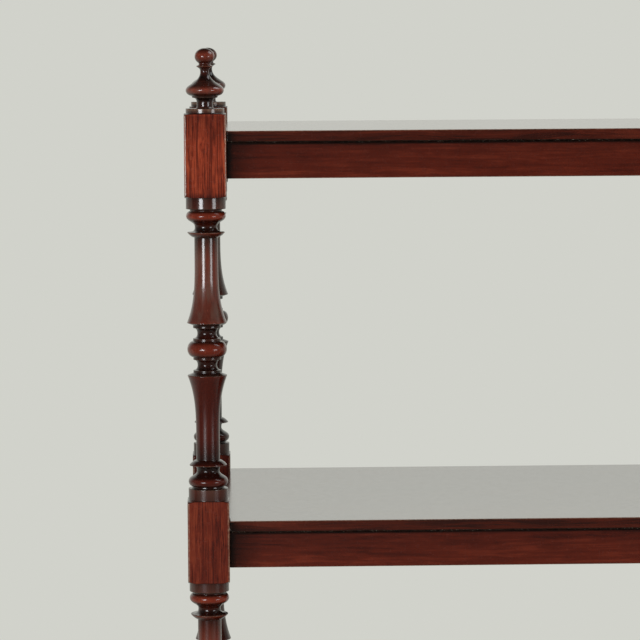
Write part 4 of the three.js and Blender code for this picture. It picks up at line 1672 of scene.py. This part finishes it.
class ETAGERE_OT_stage(bpy.types.Operator):
    """Lays the floor, hangs the lamps and sets the camera"""

    bl_idname = "etagere.stage"
    bl_label = "Set Stage"

    def execute(self, context):
        scene = context.scene
        self.floor(scene)
        self.room(scene)
        self.lamps(scene)
        self.camera(scene)
        scene.view_settings.view_transform = "Standard"
        return {"FINISHED"}

    def floor(self, scene):
        finish = scene.etagere_finish
        bm = bmesh.new()
        bmesh.ops.create_circle(bm, cap_ends=True, cap_tris=False, segments=96, radius=60.0)
        mesh = bpy.data.meshes.new("floor")
        bm.to_mesh(mesh)
        bm.free()
        floor = bpy.data.objects.new("floor", mesh)
        scene.collection.objects.link(floor)
        material, wires, shader = new_material("Floor")
        mesh.materials.append(material)
        coords = wires.node("ShaderNodeTexCoord").outputs["Object"]
        away = wires.node("ShaderNodeVectorMath", {0: coords}, operation="LENGTH").outputs["Value"]
        shader["Roughness"].default_value = 0.8
        shader["Specular IOR Level"].default_value = 0.2
        glow = wires.node("ShaderNodeEmission", {"Color": colour(finish.wall), "Strength": 1.0})
        path = wires.node("ShaderNodeLightPath").outputs
        ahead = wires.node("ShaderNodeSeparateXYZ", {0: coords}).outputs[1]
        mirrored = wires.math("MAXIMUM", path["Is Glossy Ray"], path["Is Transmission Ray"])
        in_front = wires.times(mirrored, wires.ranged(ahead, -1.2, 0.4, 1.0, 0.0))
        mirrored = wires.minus(mirrored, in_front)
        cloud = wires.noise(coords, 1.3, 3.0).outputs[0]
        tone = wires.math("MULTIPLY_ADD", in_front, -0.75, wires.ranged(cloud, 0.2, 0.8, 0.97, 1.0))
        shade = wires.node("ShaderNodeVectorMath", {0: colour(finish.wall)[:3]}, operation="SCALE")
        wires.feed(shade.inputs["Scale"], tone)
        wires.feed(shader["Base Color"], shade.outputs[0])
        seen = wires.math("MAXIMUM", path["Is Camera Ray"], wires.times(mirrored, 0.35))
        share_of_glow = wires.times(seen, wires.ranged(away, 0.9, 2.6, 0.35, 1.0))
        nodes = material.node_tree.nodes
        lit = next(node for node in nodes if node.type == "BSDF_PRINCIPLED").outputs[0]
        mixed = wires.node("ShaderNodeMixShader", {0: share_of_glow, 1: lit, 2: glow.outputs[0]})
        out = next(node for node in nodes if node.type == "OUTPUT_MATERIAL")
        wires.feed(out.inputs["Surface"], mixed.outputs[0])
        floor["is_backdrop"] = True

    def room(self, scene):
        studio = scene.etagere_studio
        world = bpy.data.worlds.new("Room")
        scene.world = world
        world.use_nodes = True
        tree = world.node_tree
        tree.nodes.clear()
        wires = Wires(tree)
        wall = colour(scene.etagere_finish.wall)
        way = wires.node("ShaderNodeTexCoord").outputs["Generated"]
        parts = wires.node("ShaderNodeSeparateXYZ", {0: way}).outputs
        behind = wires.ranged(parts[1], 0.25, 0.8)
        low = wires.ranged(parts[2], 0.4, 0.75, 1.0, 0.0)
        behind = wires.times(behind, low)
        sides = wires.blend(
            wires.times(wires.ranged(parts[1], -0.72, -0.1), low),
            (0.018, 0.018, 0.017, 1.0),
            wires.blend(
                wires.ranged(parts[0], -0.5, 0.5), colour(wall[:3], 0.25), colour(wall[:3], 0.5)
            ),
        )
        mirrored = wires.blend(behind, sides, wall)
        path = wires.node("ShaderNodeLightPath").outputs
        soft = wires.times(wires.ranged(parts[1], -0.7, 0.5, 1.0, 0.3), studio.ambient)
        plain = wires.node("ShaderNodeBackground", {"Color": wall, "Strength": soft})
        seen = wires.node("ShaderNodeBackground", {"Color": wall, "Strength": 1.0})
        gloss = wires.node("ShaderNodeBackground", {"Color": mirrored, "Strength": 1.0})
        is_gloss = wires.math("MAXIMUM", path["Is Glossy Ray"], path["Is Transmission Ray"])
        first = wires.node(
            "ShaderNodeMixShader", {0: is_gloss, 1: plain.outputs[0], 2: gloss.outputs[0]}
        )
        second = wires.node(
            "ShaderNodeMixShader", {0: path["Is Camera Ray"], 1: first.outputs[0], 2: seen.outputs[0]}
        )
        wires.node("ShaderNodeOutputWorld", {"Surface": second.outputs[0]})

    def lamps(self, scene):
        studio = scene.etagere_studio
        target = Vector((-0.45, -0.2, 0.9))
        for name, azimuth, distance, height, width, tall, power in (
            ("left_lamp", -28.0, 8.0, 0.78, 2.7, 1.16, studio.left_power),
            ("right_lamp", 49.0, 8.0, 0.65, 2.6, 0.97, studio.right_power),
            ("high_lamp", 96.0, 2.2, 3.2, 1.6, 1.6, studio.high_power),
        ):
            angle = math.radians(azimuth)
            place = target + Vector((math.sin(angle), -math.cos(angle), 0.0)) * distance
            place.z = height
            lamp_data = bpy.data.lights.new(name, "AREA")
            lamp_data.shape = "RECTANGLE"
            lamp_data.size = width
            lamp_data.size_y = tall
            lamp_data.energy = power
            lamp_data.color = (0.93, 0.97, 1.0)
            lamp = bpy.data.objects.new(name, lamp_data)
            lamp.location = place
            lamp.rotation_euler = (target - place).to_track_quat("-Z", "Y").to_euler()
            lamp.visible_camera = False
            scene.collection.objects.link(lamp)

    def camera(self, scene):
        studio = scene.etagere_studio
        ahead = Vector(
            (
                math.sin(studio.yaw) * math.cos(studio.pitch),
                math.cos(studio.yaw) * math.cos(studio.pitch),
                -math.sin(studio.pitch),
            )
        )
        right = Vector((math.cos(studio.yaw), -math.sin(studio.yaw), 0.0))
        up = right.cross(ahead)
        cosine, sine = math.cos(studio.roll), math.sin(studio.roll)
        turned_right = cosine * right + sine * up
        turned_up = -sine * right + cosine * up
        data = bpy.data.cameras.new("camera")
        data.lens = studio.lens
        data.sensor_width = 36.0
        data.clip_start = 0.05
        data.clip_end = 200.0
        camera = bpy.data.objects.new("camera", data)
        scene.collection.objects.link(camera)
        camera.matrix_world = Matrix(
            (
                (turned_right.x, turned_up.x, -ahead.x, studio.place[0]),
                (turned_right.y, turned_up.y, -ahead.y, studio.place[1]),
                (turned_right.z, turned_up.z, -ahead.z, studio.place[2]),
                (0.0, 0.0, 0.0, 1.0),
            )
        )
        scene.camera = camera


OPERATORS = (
    ETAGERE_OT_posts,
    ETAGERE_OT_finials,
    ETAGERE_OT_boards,
    ETAGERE_OT_rails,
    ETAGERE_OT_glue_blocks,
    ETAGERE_OT_castors,
    ETAGERE_OT_stage,
)


class ETAGERE_PT_panel(bpy.types.Panel):
    """Sizes, finishes and steps of the etagere"""

    bl_idname = "ETAGERE_PT_panel"
    bl_label = "Etagere"
    bl_space_type = "VIEW_3D"
    bl_region_type = "UI"
    bl_category = "Etagere"

    def draw(self, context):
        for attribute, group in PROPERTY_GROUPS.items():
            box = self.layout.box()
            for name in group.__annotations__:
                box.prop(getattr(context.scene, attribute), name)
        for operator in OPERATORS:
            self.layout.operator(operator.bl_idname)


CLASSES = (*PROPERTY_GROUPS.values(), *OPERATORS, ETAGERE_PT_panel)


def register():
    for cls in CLASSES:
        bpy.utils.register_class(cls)
    for attribute, group in PROPERTY_GROUPS.items():
        setattr(bpy.types.Scene, attribute, PointerProperty(type=group))


def unregister():
    for attribute in PROPERTY_GROUPS:
        delattr(bpy.types.Scene, attribute)
    for cls in reversed(CLASSES):
        bpy.utils.unregister_class(cls)


def main():
    register()
    for operator in OPERATORS:
        group, name = operator.bl_idname.split(".")
        getattr(getattr(bpy.ops, group), name)()
    boxes = {"cad": CAD_BOX, "visual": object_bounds()}
    {key: [list(corner) for corner in box] for key, box in boxes.items()}


if __name__ == "__main__":
    main()
